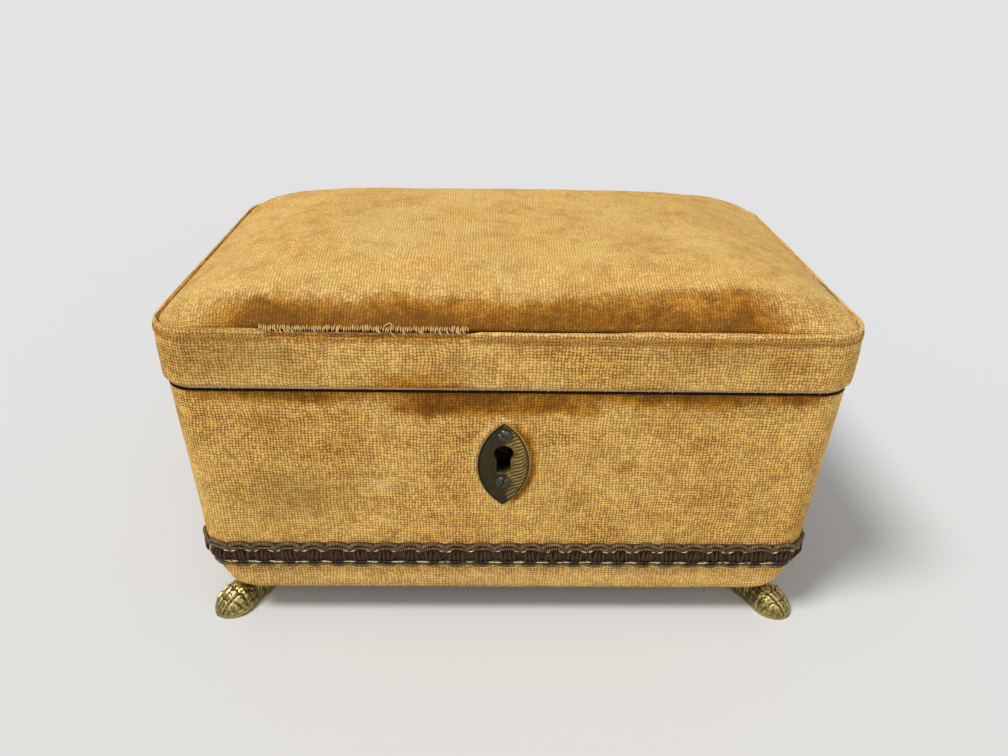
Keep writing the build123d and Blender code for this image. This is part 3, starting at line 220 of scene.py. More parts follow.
rough = wire.plus(wire.times(cloud, 0.25), wire.times(grime, 0.3))
wire.feed(wire.plus(rough, 0.2), put["Roughness"])
wire.feed(cloud, put["Height"])

# Wood: long wavering grain lines with pores
wire, given, put = effect(
    "Wood grain",
    [("Vector", VECTOR, None), ("Light", COLOUR, None), ("Deep", COLOUR, None)],
    [("Color", COLOUR), ("Height", FLOAT)],
)
long_way = wire.add("ShaderNodeMapping", {"Vector": given["Vector"], "Scale": (0.012, 0.25, 0.25)})
rings = wire.noise(long_way.outputs[0], 1.0, 5.0, 0.62)
lines = wire.math("FRACT", wire.times(rings, 9.0))
pore_way = wire.add("ShaderNodeMapping", {"Vector": given["Vector"], "Scale": (0.12, 3.0, 3.0)})
pores = wire.step(wire.noise(pore_way.outputs[0], 1.0, 2.0), 0.6, 0.72)
share = wire.plus(wire.times(lines, 0.55), wire.times(pores, 0.5), clamp=True)
wire.feed(wire.mix(share, given["Light"], given["Deep"]), put["Color"])
wire.feed(wire.minus(1.0, share), put["Height"])


def new_material(name):
    """A material with one Principled shader, its wiring and its place in millimetres."""
    material = bpy.data.materials.new(name)
    material.use_nodes = True
    material.node_tree.nodes.clear()
    wiring = Wiring(material.node_tree)
    shader = wiring.add("ShaderNodeBsdfPrincipled")
    output = wiring.add("ShaderNodeOutputMaterial")
    wiring.feed(shader.outputs[0], output.inputs[0])
    place = wiring.add("ShaderNodeTexCoord").outputs["Object"]
    scaled = wiring.add("ShaderNodeVectorMath", {0: place, 3: 1 / MM}, operation="SCALE")
    return material, wiring, shader, scaled.outputs[0]


def use(wiring, name, **inputs):
    node = wiring.add("ShaderNodeGroup", node_tree=bpy.data.node_groups[name])
    for label, value in inputs.items():
        wiring.feed(value, node.inputs[label.replace("_", " ")])
    return node.outputs


def finish(wiring, shader, **inputs):
    """Feeds the shader's inputs, named with _ for each space, with links or plain values."""
    for label, value in inputs.items():
        wiring.feed(value, shader.inputs[label.replace("_", " ")])


def bump(wiring, shader, height, strength, distance_mm):
    inputs = {"Height": height, "Strength": strength, "Distance": distance_mm * MM}
    finish(wiring, shader, Normal=wiring.add("ShaderNodeBump", inputs).outputs[0])


def velvet(name, pale=hue(252, 200, 108), gold=hue(234, 168, 74), gap=hue(104, 54, 6), rib=1.05,
           row=1.0, depth=0.92):
    """Worn velvet: the ground weave shows, with dark nap and pale spots from attributes; these also
    carry painted shade, painted shadow and painted light.
    """
    material, wiring, shader, place = new_material(name)
    cloth = wiring.add("ShaderNodeUVMap", uv_map="cloth").outputs[0]
    grid = use(wiring, "Thread grid", Vector=cloth, Rib_pitch=rib, Row_pitch=row)
    nap = wiring.add("ShaderNodeAttribute", attribute_name="nap").outputs["Fac"]
    worn = wiring.add("ShaderNodeAttribute", attribute_name="worn").outputs["Fac"]
    soiled = wiring.add("ShaderNodeAttribute", attribute_name="soiled").outputs["Fac"]
    ragged = wiring.noise(place, 0.35, 6.0, 0.75)
    streaks = wiring.add("ShaderNodeMapping", {"Vector": cloth, "Scale": (0.7, 0.12, 1.0)})
    streaks = wiring.noise(streaks.outputs[0], 1.0, 4.0, 0.6)
    nap = wiring.plus(nap, wiring.minus(ragged, 0.5))
    nap = wiring.plus(nap, wiring.times(wiring.minus(streaks, 0.5), 0.6))
    nap = wiring.plus(nap, wiring.times(wiring.minus(0.6, grid["Knots"]), 0.25))
    pile_and_shade = wiring.step(nap, 0.22, 0.95)
    faded = use(wiring, "Patches", Vector=place, Size=30.0, Cover=0.5, Softness=0.22)["Mask"]
    tone = wiring.mix(faded, gold, pale)
    tone = wiring.tint(tone, grid["Tint"], 0.8, hue(255, 212, 124))
    tone = wiring.tint(tone, grid["Rows"], 0.5, hue(255, 208, 120))
    dark = use(wiring, "Patches", Vector=place, Size=8.0, Cover=0.42, Softness=0.14)["Mask"]
    tone = wiring.tint(tone, dark, 0.32, hue(156, 94, 20))
    # The worn tint also carries the painted light beside the lock plate.
    tone = wiring.tint(tone, worn, 0.7, hue(252, 218, 146))
    tone = wiring.tint(tone, soiled, 0.5, hue(156, 126, 60))
    # The gaps between the knots are darkened, here and again in the tone of the raised fibres below:
    # partly the ground between the threads, partly painted shade in the weave's holes.
    open_weave = wiring.minus(1.0, wiring.times(faded, 0.3))
    between = wiring.times(wiring.minus(1.0, grid["Knots"]), wiring.times(open_weave, depth))
    between = wiring.times(between, wiring.minus(1.0, wiring.times(worn, 0.5)))
    between = wiring.times(between, wiring.minus(1.0, wiring.times(grid["Rows"], 0.45)))
    tone = wiring.mix(between, tone, gap)
    shade = wiring.noise(place, 0.16, 3.0, 0.6)
    plush_and_shade = wiring.mix(wiring.step(shade, 0.35, 0.65), hue(140, 84, 12), hue(196, 130, 34))
    plush_and_shade = wiring.mix(wiring.times(wiring.step(streaks, 0.42, 0.68), 0.5), plush_and_shade, hue(222, 156, 56))
    # The darkest tone of the raised fibres is also the colour of the painted shade and painted shadow
    # that the dark attribute carries.
    plush_and_shade = wiring.mix(wiring.times(wiring.step(nap, 0.75, 1.35), 0.75), plush_and_shade, hue(92, 50, 6))
    plush_and_shade = wiring.mix(wiring.times(wiring.minus(1.0, grid["Knots"]), 0.4), plush_and_shade, hue(84, 44, 6))
    tone = wiring.mix(wiring.times(pile_and_shade, 0.95), tone, plush_and_shade)
    finish(wiring, shader, Base_Color=tone, Roughness=0.92, Specular_IOR_Level=0.1, Sheen_Weight=0.06,
           Sheen_Roughness=0.45, Sheen_Tint=hue(255, 196, 96))
    flat = wiring.minus(1.0, wiring.times(pile_and_shade, 0.5))
    bump(wiring, shader, wiring.times(grid["Height"], flat), 0.9, 0.5)
    return material


def thread(name, colour, other, sheen=0.08):
    material, wiring, shader, place = new_material(name)
    share = wiring.noise(place, 1.4, 3.0, 0.6)
    finish(wiring, shader, Base_Color=wiring.mix(share, colour, other), Roughness=0.8,
           Specular_IOR_Level=0.15, Sheen_Weight=sheen)
    bump(wiring, shader, wiring.noise(place, 6.0, 2.0), 0.4, 0.1)
    return material


def silk(name, colour, deep):
    """Aged silk with a fine cross rib and broad faded patches."""
    material, wiring, shader, place = new_material(name)
    cloth = wiring.add("ShaderNodeUVMap", uv_map="cloth").outputs[0]
    ribs = wiring.add("ShaderNodeMapping", {"Vector": cloth, "Scale": (0.05, 2.4, 1.0)})
    ribs = wiring.noise(ribs.outputs[0], 1.0, 3.0, 0.6)
    faded = use(wiring, "Patches", Vector=place, Size=24.0, Cover=0.45, Softness=0.2)["Mask"]
    tone = wiring.mix(faded, colour, deep)
    tone = wiring.tint(tone, ribs, 0.3, deep)
    finish(wiring, shader, Base_Color=tone, Roughness=0.42, Sheen_Weight=0.35)
    bump(wiring, shader, ribs, 0.35, 0.12)
    return material


def old_metal(name, bright, dull, dark, grain=1.5, rubbed=0.5, metallic=1.0, relief=0.15):
    material, wiring, shader, place = new_material(name)
    out = use(wiring, "Old metal", Vector=place, Bright=bright, Dull=dull, Dark=dark, Grain=grain,
              Rubbed=rubbed)
    finish(wiring, shader, Base_Color=out["Color"], Roughness=out["Roughness"], Metallic=metallic)
    bump(wiring, shader, out["Height"], 0.35, relief)
    return material


def twisted_cord(name, bright, dull, dark, lay):
    """Thread wound round a core: slanted wraps along the cord map, with painted shade between the wraps
    and painted highlights on some of them.
    """
    material, wiring, shader, place = new_material(name)
    cord = wiring.add("ShaderNodeSeparateXYZ", {0: wiring.add("ShaderNodeUVMap",
                                                              uv_map="cord").outputs[0]})
    turn = wiring.plus(wiring.over(cord.outputs[0], lay), cord.outputs[1])
    wraps = wiring.math("ABSOLUTE", wiring.math("SINE", wiring.times(turn, pi)))
    cloudy = wiring.noise(place, 0.7, 4.0, 0.65)
    glint = wiring.times(wiring.step(wraps, 0.55, 0.95), wiring.step(cloudy, 0.42, 0.68))
    tone = wiring.mix(wiring.step(wraps, 0.05, 0.6), dark, dull)
    finish(wiring, shader, Base_Color=wiring.mix(glint, tone, bright), Metallic=0.25, Roughness=0.55)
    bump(wiring, shader, wraps, 0.8, 0.25)
    return material


BRAID_CORD = twisted_cord("braid_cord", hue(160, 130, 80), hue(92, 70, 42), hue(42, 29, 17), 0.75)
BRAID_CORE = twisted_cord("braid_core", hue(108, 84, 54), hue(64, 46, 29), hue(28, 19, 11), 0.6)


def engraved_plate(name):
    """Old brass, dark in its cuts and bright on its rubbed ridges, as an attribute says; it also paints
    the keyhole's well darkest, as painted shade.
    """
    material, wiring, shader, place = new_material(name)
    share = wiring.add("ShaderNodeAttribute", attribute_name="rubbed").outputs["Fac"]
    cloudy = wiring.noise(place, 0.5, 5.0, 0.65)
    share = wiring.plus(share, wiring.times(wiring.minus(cloudy, 0.5), 0.5), clamp=True)
    low = wiring.mix(wiring.step(share, 0.0, 0.5), hue(14, 11, 4), hue(64, 54, 26))
    finish(wiring, shader, Base_Color=wiring.mix(wiring.step(share, 0.45, 1.0), low,
                                                 hue(180, 148, 76)),
           Roughness=wiring.plus(wiring.times(cloudy, 0.3), 0.28), Metallic=0.7)
    bump(wiring, shader, wiring.noise(place, 2.4, 4.0, 0.7), 0.4, 0.1)
    return material


PLATE_METAL = engraved_plate("plate_metal")


def wood(name, light, deep, gloss=0.5):
    material, wiring, shader, place = new_material(name)
    out = use(wiring, "Wood grain", Vector=place, Light=light, Deep=deep)
    finish(wiring, shader, Base_Color=out["Color"], Roughness=gloss)
    bump(wiring, shader, out["Height"], 0.25, 0.15)
    return material


VELVET = velvet("velvet_front")
# A paler copy of the velvet for the cushion's top, with a finer, shallower weave: its paler colours are
# painted light on the top that faces the lamps.
VELVET_TOP_LIT = velvet("velvet_top_lit", hue(255, 215, 138), hue(251, 199, 114), hue(172, 106, 34), 0.95, 0.8,
                    0.6)
PALE_THREAD = thread("pale_thread", hue(238, 202, 138), hue(188, 142, 76))
BRAID_BLOCK = thread("braid_block", hue(86, 64, 40), hue(48, 34, 21), 0.0)
GOLD_THREAD = thread("gold_thread", hue(226, 174, 92), hue(150, 100, 38))
SEAM_SHADE = thread("seam_shade", hue(46, 25, 6), hue(24, 12, 3), 0.0)
JOINT_SHADE = thread("joint_shade", hue(30, 16, 5), hue(15, 8, 3), 0.0)
SILK = silk("silk_lining", hue(222, 196, 148), hue(186, 154, 104))
SILK_BUTTON = thread("silk_button", hue(204, 176, 126), hue(170, 140, 92))
PAW_BRASS = old_metal("paw_brass", hue(188, 168, 108), hue(86, 77, 46), hue(18, 22, 15), 0.8, 0.3)
BRAID_THREAD = old_metal("braid_thread", hue(206, 184, 140), hue(142, 118, 84), hue(60, 46, 32), 1.8,
                         0.6, 0.4)
LOCK_STEEL = old_metal("lock_steel", hue(122, 118, 108), hue(86, 82, 74), hue(34, 31, 26), 0.6, 0.5)
HINGE_BRASS = old_metal("hinge_brass", hue(170, 144, 92), hue(126, 101, 58), hue(54, 40, 21), 0.9, 0.4)
OLD_STEEL = old_metal("old_steel", hue(92, 88, 76), hue(56, 54, 46), hue(16, 14, 12), 1.2, 0.5)
BRIGHT_STEEL = old_metal("ground_steel", hue(205, 206, 208), hue(160, 160, 162), hue(90, 88, 86), 0.5,
                         0.6)
CLEAN_BRASS = old_metal("movement_brass", hue(232, 202, 130), hue(190, 154, 84), hue(96, 72, 34), 0.4,
                        0.6)

CARCASS = wood("carcass_wood", hue(190, 152, 104), hue(140, 100, 62), 0.6)
VARNISHED = wood("varnished_wood", hue(128, 74, 38), hue(74, 38, 18), 0.3)

paper, wiring, shader, place = new_material("marbled_paper")
mottle = use(wiring, "Patches", Vector=place, Size=6.0, Cover=0.5, Softness=0.1)["Mask"]
fibre = wiring.noise(place, 2.0, 4.0, 0.7)
tone = wiring.mix(mottle, hue(150, 122, 84), hue(112, 88, 60))
wiring.feed(wiring.mix(wiring.times(fibre, 0.4), tone, hue(196, 174, 134)), shader.inputs["Base Color"])
shader.inputs["Roughness"].default_value = 0.9
bump(wiring, shader, fibre, 0.2, 0.1)

window, wiring, shader, place = new_material("window_glass")
shader.inputs["Base Color"].default_value = hue(240, 248, 244)
shader.inputs["Transmission Weight"].default_value = 1.0
shader.inputs["IOR"].default_value = 1.45
haze = use(wiring, "Patches", Vector=place, Size=18.0, Cover=0.3, Softness=0.2)["Mask"]
wiring.feed(wiring.times(haze, 0.06), shader.inputs["Roughness"])


# ---------------------------------------------------------------- mesh helpers
def settle(name, mesh, body, materials, smooth=True):
    """Places a finished mesh, given in metres, as a piece that rides on a body."""
    mesh.name = name
    piece = bpy.data.objects.new(name, mesh)
    bpy.context.scene.collection.objects.link(piece)
    mesh.materials.clear()
    for material in materials if isinstance(materials, (list, tuple)) else [materials]:
        mesh.materials.append(material)
    mesh.polygons.foreach_set("use_smooth", [smooth] * len(mesh.polygons))
    mesh.update()
    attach(piece, body)
    return piece


def from_points(name, points, faces):
    mesh = bpy.data.meshes.new(name)
    mesh.from_pydata([tuple(c * MM for c in p) for p in points], [], faces)
    mesh.validate()
    return mesh


def outward(mesh):
    """Merges doubles and turns every face of a closed mesh outwards."""
    shape = bmesh.new()
    shape.from_mesh(mesh)
    bmesh.ops.remove_doubles(shape, verts=shape.verts, dist=0.001 * MM)
    bmesh.ops.recalc_face_normals(shape, faces=shape.faces)
    shape.to_mesh(mesh)
    shape.free()
    return mesh


def lay_cloth(mesh, mapping):
    """Gives a mesh its cloth map, in millimetres: mapping takes a point and a normal."""
    layer = mesh.uv_layers.new(name="cloth")
    for face in mesh.polygons:
        for corner in face.loop_indices:
            point = mesh.vertices[mesh.loops[corner].vertex_index].co / MM
            layer.data[corner].uv = mapping(point, face.normal)


def mark(mesh, **measures):
    """Stores numbers at each vertex, each worked out from its place in millimetres."""
    for name, value_at in measures.items():
        attribute = mesh.attributes.new(name, "FLOAT", "POINT")
        attribute.data.foreach_set("value", [value_at(v.co / MM) for v in mesh.vertices])


def clamp(value, high=1.0):
    return max(0.0, min(high, value))


def ripple(x, y, z):
    return noise.noise(Vector((x, y, z)))


def cloud(point, size, seed=0.0):
    return ripple(point[0] / size + seed, point[1] / size - seed, point[2] / size + 2 * seed)


def blob(point, centre, reach):
    """1 at a centre, falling to 0 over the reach along each axis."""
    squares = sum(((point[i] - centre[i]) / reach[i]) ** 2 for i in range(3))
    return exp(-squares)


def blobs(point, *rows):
    """The sum of some blobs, each given by its weight, centre and reach."""
    return sum(weight * blob(point, centre, reach) for weight, centre, reach in rows)


def band(value, low, high, soft):
    """1 between low and high, with soft ends."""
    rise = min(max((value - low) / soft + 0.5, 0), 1)
    fall = min(max((high - value) / soft + 0.5, 0), 1)
    return rise * fall


def evaluated(piece):
    """The piece as its modifiers leave it, as a plain mesh; the piece itself goes."""
    graph = bpy.context.evaluated_depsgraph_get()
    graph.update()
    mesh = bpy.data.meshes.new_from_object(piece.evaluated_get(graph))
    bpy.data.objects.remove(piece)
    return mesh


def loose(name, mesh):
    piece = bpy.data.objects.new(name, mesh)
    bpy.context.scene.collection.objects.link(piece)
    return piece


def skin_rows(rows, closed_rows=True, cap=False):
    """Quads over rows of points of equal length, each row a ring."""
    count = len(rows[0])
    points = [p for row in rows for p in row]
    faces = []
    for r in range(len(rows) - 1):
        for c in range(count if closed_rows else count - 1):
            d = (c + 1) % count
            faces.append((r * count + c, r * count + d, (r + 1) * count + d, (r + 1) * count + c))
    if cap:
        faces.append(tuple(range(count))[::-1])
        faces.append(tuple((len(rows) - 1) * count + c for c in range(count)))
    return points, faces


def ring(half_long, half_wide, radius, along=180, across=112, corner=10):
    """Points of a rounded rectangle, from the front left, going right, with their normals."""
    out = []
    inner_x, inner_y = half_long - radius, half_wide - radius
    for turn in range(4):
        count = along if turn % 2 == 0 else across
        start = ((-inner_x, -half_wide), (half_long, -inner_y), (inner_x, half_wide),
                 (-half_long, inner_y))[turn]
        end = ((inner_x, -half_wide), (half_long, inner_y), (-inner_x, half_wide),
               (-half_long, -inner_y))[turn]
        centre = ((inner_x, -inner_y), (inner_x, inner_y), (-inner_x, inner_y),
                  (-inner_x, -inner_y))[turn]
        facing = radians(-90 + 90 * turn)
        for number in range(count):
            share = number / count
            out.append((start[0] + (end[0] - start[0]) * share, start[1] + (end[1] - start[1]) * share,
                        cos(facing), sin(facing)))
        for number in range(corner):
            angle = facing + radians(90) * number / corner
            out.append((centre[0] + radius * cos(angle), centre[1] + radius * sin(angle), cos(angle),
                        sin(angle)))
    return out


def case_reach(level):
    """Half length of the case at a height, with its rolled lower ends."""
    rolled = CASE_BASE + ROLL_RADIUS
    lean = CASE_HALF_LENGTH - CASE_LEAN * (CASE_TOP - level) / (CASE_TOP - CASE_BASE)
    if level < rolled - 1.01:
        return ROLL_CENTRE_X + sqrt(max(ROLL_RADIUS ** 2 - (rolled - level) ** 2, 0))
    return lean


def case_corner(level):
    straight = CASE_HALF_LENGTH - CASE_LEAN * (CASE_TOP - level) / (CASE_TOP - CASE_BASE)
    return max(CORNER_RADIUS - (straight - case_reach(level)), 1.6)


def cloth_map(point, normal):
    """Ribs upright on the sides, front to back on the top and under the base."""
    if abs(normal[2]) > 0.75:
        return point[0], point[1]
    across = point[0] if abs(normal[1]) > abs(normal[0]) else point[1]
    return across, point[2]


def past_plate(x, z):
    """Distance from a point on the front to the lock plate's outline; less than 0 is under it."""
    bow = (PLATE_HALF_HEIGHT ** 2 + PLATE_HALF_WIDTH ** 2) / (2 * PLATE_HALF_WIDTH)
    return hypot(abs(x - PLATE_X) + bow - PLATE_HALF_WIDTH, z - PLATE_MIDDLE) - bow


# ---------------------------------------------------------------- velvet of the case
def build_case_velvet():
    levels = [CASE_TOP - 1.8 * (1 - cos(radians(a))) for a in (0, 45, 90)]
    rows = []
    rim = ring(case_reach(CASE_TOP) - 0.9, CASE_HALF_DEPTH - 0.9, CORNER_RADIUS - 0.9)
    rows.append([(x, y, CASE_TOP - 2.0) for x, y, _, _ in rim])
    rows.append([(x, y, CASE_TOP - 0.05) for x, y, _, _ in rim])
    for shift, level in zip((1.3, 0.42, 0.0), levels):
        outline = ring(case_reach(level) - shift, CASE_HALF_DEPTH - shift, CORNER_RADIUS - shift)
        rows.append([(x, y, level - 0.02) for x, y, _, _ in outline])
    level, low = levels[-1] - 1.0, CASE_BASE + 1.0
    while level > low:
        outline = ring(case_reach(level), CASE_HALF_DEPTH, case_corner(level))
        row = []
        for x, y, nx, ny in outline:
            swell = 0.22 * cloud((x, y, level), 26, 3) + 0.1 * cloud((x, y, level), 7, 5)
            swell -= 0.35 * blob((x, y, level), (-42, -65.6, 56.5), (1.6, 3, 1.0))
            swell -= 0.3 * blob((x, y, level), (-18, -65.6, 70.5), (0.9, 3, 0.9))
            if y < -65:
                past = past_plate(x, level)
                swell += 0.45 * exp(-((past - 0.5) / 1.0) ** 2) - (0.4 if past < -0.6 else 0.0)
            row.append((x + nx * swell, y + ny * swell, level))
        rows.append(row)
        level -= 1.15 if level > CASE_BASE + ROLL_RADIUS else 0.8
    for shift, height in ((0.12, 0.55), (0.5, 0.18), (1.1, 0.0), (3.2, 0.0)):
        level = CASE_BASE + height
        outline = ring(case_reach(CASE_BASE + height + 0.1) - shift, CASE_HALF_DEPTH - shift, 1.8)
        rows.append([(x, y, level) for x, y, _, _ in outline])
    hole = ring(79.8, 57.9, 0.6)
    rows.append([(x, y, CASE_BASE) for x, y, _, _ in hole])
    rows.append([(x, y, CASE_BASE + 0.3) for x, y, _, _ in hole])
    points, faces = skin_rows([row[::-1] for row in rows])
    uncovered = []
    for face in faces:
        x, y, z = (sum(points[corner][axis] for corner in face) / 4 for axis in range(3))
        if y > -60 or past_plate(x, z) > -1.6:
            uncovered.append(face)
    mesh = from_points("case_velvet_cloth", points, uncovered)
    lay_cloth(mesh, cloth_map)

    def nap_at(p):
        front = band(p[1], -70, -60, 4)
        waver = 1.3 * ripple(p[0] / 11, 2.2, 0) + 0.7 * ripple(p[0] / 3.5, 7.1, 0)
        strip = (band(p[2], 86.0 + waver, 96, 3.5) * band(p[0], -100, 96, 12)
                 * (0.86 + 0.55 * cloud(p, 20, 1)))
        strip = max(strip, 1.1 * band(p[2], 81.8 + 1.3 * waver, 96, 4.0)
                    * band(p[0] + 3 * waver, -35, 26, 15))
        # edge darkens the case's top rim just under the lid: painted shade in the joint.
        edge = 1.2 * band(p[2], 89.9, 96, 0.5)
        patch = blobs(p, (0.5, (-74, -65.6, 79), (13, 9, 3.5)), (0.45, (-52, -65.6, 82), (16, 9, 3.5)),
                      (0.5, (38, -65.6, 62), (6, 9, 3.5)), (0.4, (-60, -65.6, 68), (14, 9, 3)),
                      (0.3, (60, -65.6, 84), (30, 9, 3)), (0.3, (-34, -65.6, 74), (12, 9, 4)))
        past = past_plate(p[0], p[2])
        # Right of the lock plate the cloth is darkened: a painted shadow of the plate.
        if p[1] < -60 and p[0] > PLATE_X:
            patch += 1.25 * exp(-((past - 0.5) / 1.5) ** 2) * band(p[0] - PLATE_X, 2.5, 40, 3)
        back = 0.6 * band(p[1], 60, 70, 4) * band(p[2], 74, 92, 10)
        ends = 0.55 * (1 - front) * band(p[2], 80, 92, 8)
        general = 0.22 + 0.45 * cloud(p, 34, 7) + 0.25 * cloud(p, 9, 2)
        return clamp(max(front * max(strip, edge) + front * patch, back, ends, 0)
                     + 0.28 * max(general, 0), 1.3)

    def worn_at(p):
        past = past_plate(p[0], p[2])
        # By the plate's left side the cloth over the raised ring is made pale: painted light.
        aside = band(p[0] - PLATE_X, -40, 3, 4)
        painted_light_ring = exp(-((past - 1.1) / 0.9) ** 2) * (0.9 + cloud(p, 4, 6)) * aside if p[1] < -60 else 0.0
        edge = 0.0 if p[1] < -60 else 0.55 * band(p[2], 88.5, 92, 1.5) * (0.5 + cloud(p, 8, 4))
        corner = 0.5 if abs(p[0]) > 100 and abs(p[1]) > 60 else 0.0
        spot = blobs(p, (0.9, (-41, -65.6, 55.8), (3.4, 4, 1.4)), (0.4, (-17, -65.6, 66), (3, 4, 1.2)))
        low = 0.4 * band(p[2], 10, 20, 5)
        return clamp(0.9 * painted_light_ring + edge + corner * (0.5 + cloud(p, 10, 9)) + spot + low)

    def soiled_at(p):
        spots = blobs(p, (0.9, (-70, -65.6, 52), (18, 9, 9)), (0.5, (66, -65.6, 84), (26, 9, 3)))
        return clamp(spots + 0.6 * band(p[2], 10, 14.5, 3) + 0.35 * max(cloud(p, 28, 12), 0))

    mark(mesh, nap=nap_at, worn=worn_at, soiled=soiled_at)
    piece = settle("case_velvet_cloth", mesh, "case", VELVET)
    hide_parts("case_velvet")


# ---------------------------------------------------------------- velvet band of the lid
def torn(x):
    """How far the seam along the lid's front has opened, 0 to 1."""
    return band(x, -73, -12, 5) * (0.85 + 0.4 * ripple(x / 9, 0, 4))


def build_lid_velvet():
    profile = [(-2.4, 2.0), (-1.6, 1.25), (-0.7, 0.9), (-0.2, 1.0), (0.12, 1.4), (0.2, 2.1)]
    profile += [(0.2 + 0.25 * sin(pi * n / 14), 2.0 + 1.0 * n) for n in range(1, 14)]
    profile += [(0.2, 15.6), (0.12, 16.3), (0.02, 16.9), (-0.02, 17.5), (0.02, 18.2), (0.1, 18.7)]
    profile += [(0.12, 19.1), (0.05, 19.5), (-0.2, 19.85), (-0.65, 20.0), (-1.15, 19.8), (-1.4, 19.2),
                (-1.45, 18.9)]
    rows = []
    for shift, height in profile:
        outline = ring(LID_HALF_LENGTH + shift, LID_HALF_DEPTH + shift, LID_CORNER + shift)
        row = []
        for x, y, nx, ny in outline:
            level = LID_BASE + height
            swell = ((0.18 * cloud((x, y, level), 24, 6) + 0.08 * cloud((x, y, level), 6, 8))
                     * band(height, 1, 19, 1))
            lift = 0.22 * cloud((x, y, 0), 17, 2) * band(height, 15, 30, 4)
            if y < -60:
                open_seam = torn(x)
                swell -= open_seam * 0.5 * band(height, 18.2, 19.6, 0.8)
                lift -= open_seam * 1.5 * band(height, 18.2, 30, 1.2)
                lift -= 0.45 * band(x, -14, 34, 8) * band(height, 18.5, 30, 0.8)
            row.append((x + nx * swell, y + ny * swell, level + lift))
        rows.append(row)
    points, faces = skin_rows(rows)
    mesh = from_points("lid_velvet_cloth", points, faces)
    lay_cloth(mesh, cloth_map)

    def nap_at(p):
        front = band(p[1], -70, -60, 4)
        hem = 0.5 * band(p[2], 91, 93.4, 1) * (0.4 + cloud(p, 12, 3))
        # The second part of seam darkens the opened seam under the fringe: painted shade in the gap.
        seam = (0.42 * front * band(p[2], 107.0, 109.6, 0.9)
                + 0.8 * torn(p[0]) * front * band(p[2], 109.0, 111.3, 0.8))
        patch = blobs(p, (0.7, (-30, -67, 94), (22, 9, 4)), (0.5, (54, -67, 107), (20, 9, 3)),
                      (0.55, (12, -67, 106), (5, 9, 3)), (0.6, (40, -67, 94), (7, 9, 3)))
        general = 0.2 + 0.5 * cloud(p, 30, 5) + 0.25 * cloud(p, 8, 3)
        return clamp(hem + seam + patch + 0.3 * max(general, 0))

    def worn_at(p):
        hem = 0.5 * band(p[2], 91, 94.2, 1.2) * (0.55 + cloud(p, 7, 2))
        lip = 0.35 * band(p[2], 109.8, 112, 0.8) + 0.3 * band(p[2], 105.6, 107, 0.8)
        return clamp(hem + lip + 0.35 * max(cloud(p, 16, 11), 0))

    def soiled_at(p):
        spots = blobs(p, (0.9, (-84, -67, 104.5), (19, 9, 7)), (0.8, (62, -67, 105), (24, 9, 3.5)),
                      (0.5, (-97, -67, 97), (12, 20, 5)))
        return clamp(spots + 0.3 * max(cloud(p, 22, 1), 0))

    mark(mesh, nap=nap_at, worn=worn_at, soiled=soiled_at)
    piece = settle("lid_velvet_cloth", mesh, "lid", VELVET)
    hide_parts("lid_velvet")


# ---------------------------------------------------------------- cushion of the lid
def padded_form(half_long, half_wide, corner, base, height, power, ease=2):
    """Level contours of a pad that rises steeply from its edge and is flat in the middle."""
    rows = []
    for level in (0, 0.06, 0.13, 0.21, 0.3, 0.4, 0.5, 0.6, 0.7, 0.78, 0.85, 0.9, 0.94, 0.965, 0.985,
                  0.995, 1.0):
        share = (1 - 0.985 * level) ** (1 / power)
        radius = corner + half_wide * (1 - share) / ease
        outline = ring(half_long * share, half_wide * share, radius, 60, 40, 10)
        rows.append([(x, y, base + height * level) for x, y, _, _ in outline])
    return skin_rows(rows, cap=True)


def puff(name, mesh, voxel, pressure, cap, floor_level, frames=20, still=None):
    """Blows a closed mesh up as cloth, with its rim held, and gives the result back."""
    piece = loose(name, mesh)
    remesh = piece.modifiers.new("even", "REMESH")
    remesh.mode, remesh.voxel_size = "VOXEL", voxel * MM
    mesh = evaluated(piece)
    before = [v.co.copy() for v in mesh.vertices]
    piece = loose(name, mesh)
    held = piece.vertex_groups.new(name="held")
    held.add([v.index for v in mesh.vertices if v.co.z < (floor_level + 1.2)
              * MM or (still and still(v.co / MM))], 1.0, "REPLACE")
    cloth = piece.modifiers.new("filled", "CLOTH")
    cloth.settings.use_pressure = True
    cloth.settings.uniform_pressure_force = pressure
    cloth.settings.effector_weights.gravity = 0.0
    cloth.settings.vertex_group_mass = "held"
    cloth.settings.quality = 4
    cloth.point_cache.frame_start, cloth.point_cache.frame_end = 1, frames
    for number in range(1, frames + 1):
        bpy.context.scene.frame_set(number)
    mesh = evaluated(piece)
    bpy.context.scene.frame_set(1)
    for vertex, start in zip(mesh.vertices, before):
        move = vertex.co - start
        if move.length > cap * MM:
            vertex.co = start + move * (cap * MM / move.length)
    return mesh


def smooth_out(name, mesh, levels, repeat=0):
    piece = loose(name, mesh)
    if repeat:
        easing = piece.modifiers.new("ease", "SMOOTH")
        easing.factor, easing.iterations = 0.5, repeat
    if levels:
        finer = piece.modifiers.new("finer", "SUBSURF")
        finer.levels = finer.render_levels = levels
    return evaluated(piece)


def held_in(p, inset):
    """Pulls a point back inside the lid's outline where it passes it, less an inset."""
    half_long, half_wide, radius = LID_HALF_LENGTH - inset, LID_HALF_DEPTH - inset, LID_CORNER - inset
    over_x, over_y = abs(p[0]) - (half_long - radius), abs(p[1]) - (half_wide - radius)
    reach = hypot(max(over_x, 0), max(over_y, 0))
    if reach <= radius:
        return p[0], p[1]
    share = radius / reach
    x = half_long - radius + over_x * share if over_x > 0 else abs(p[0])
    y = half_wide - radius + over_y * share if over_y > 0 else abs(p[1])
    return (x if p[0] > 0 else -x), (y if p[1] > 0 else -y)


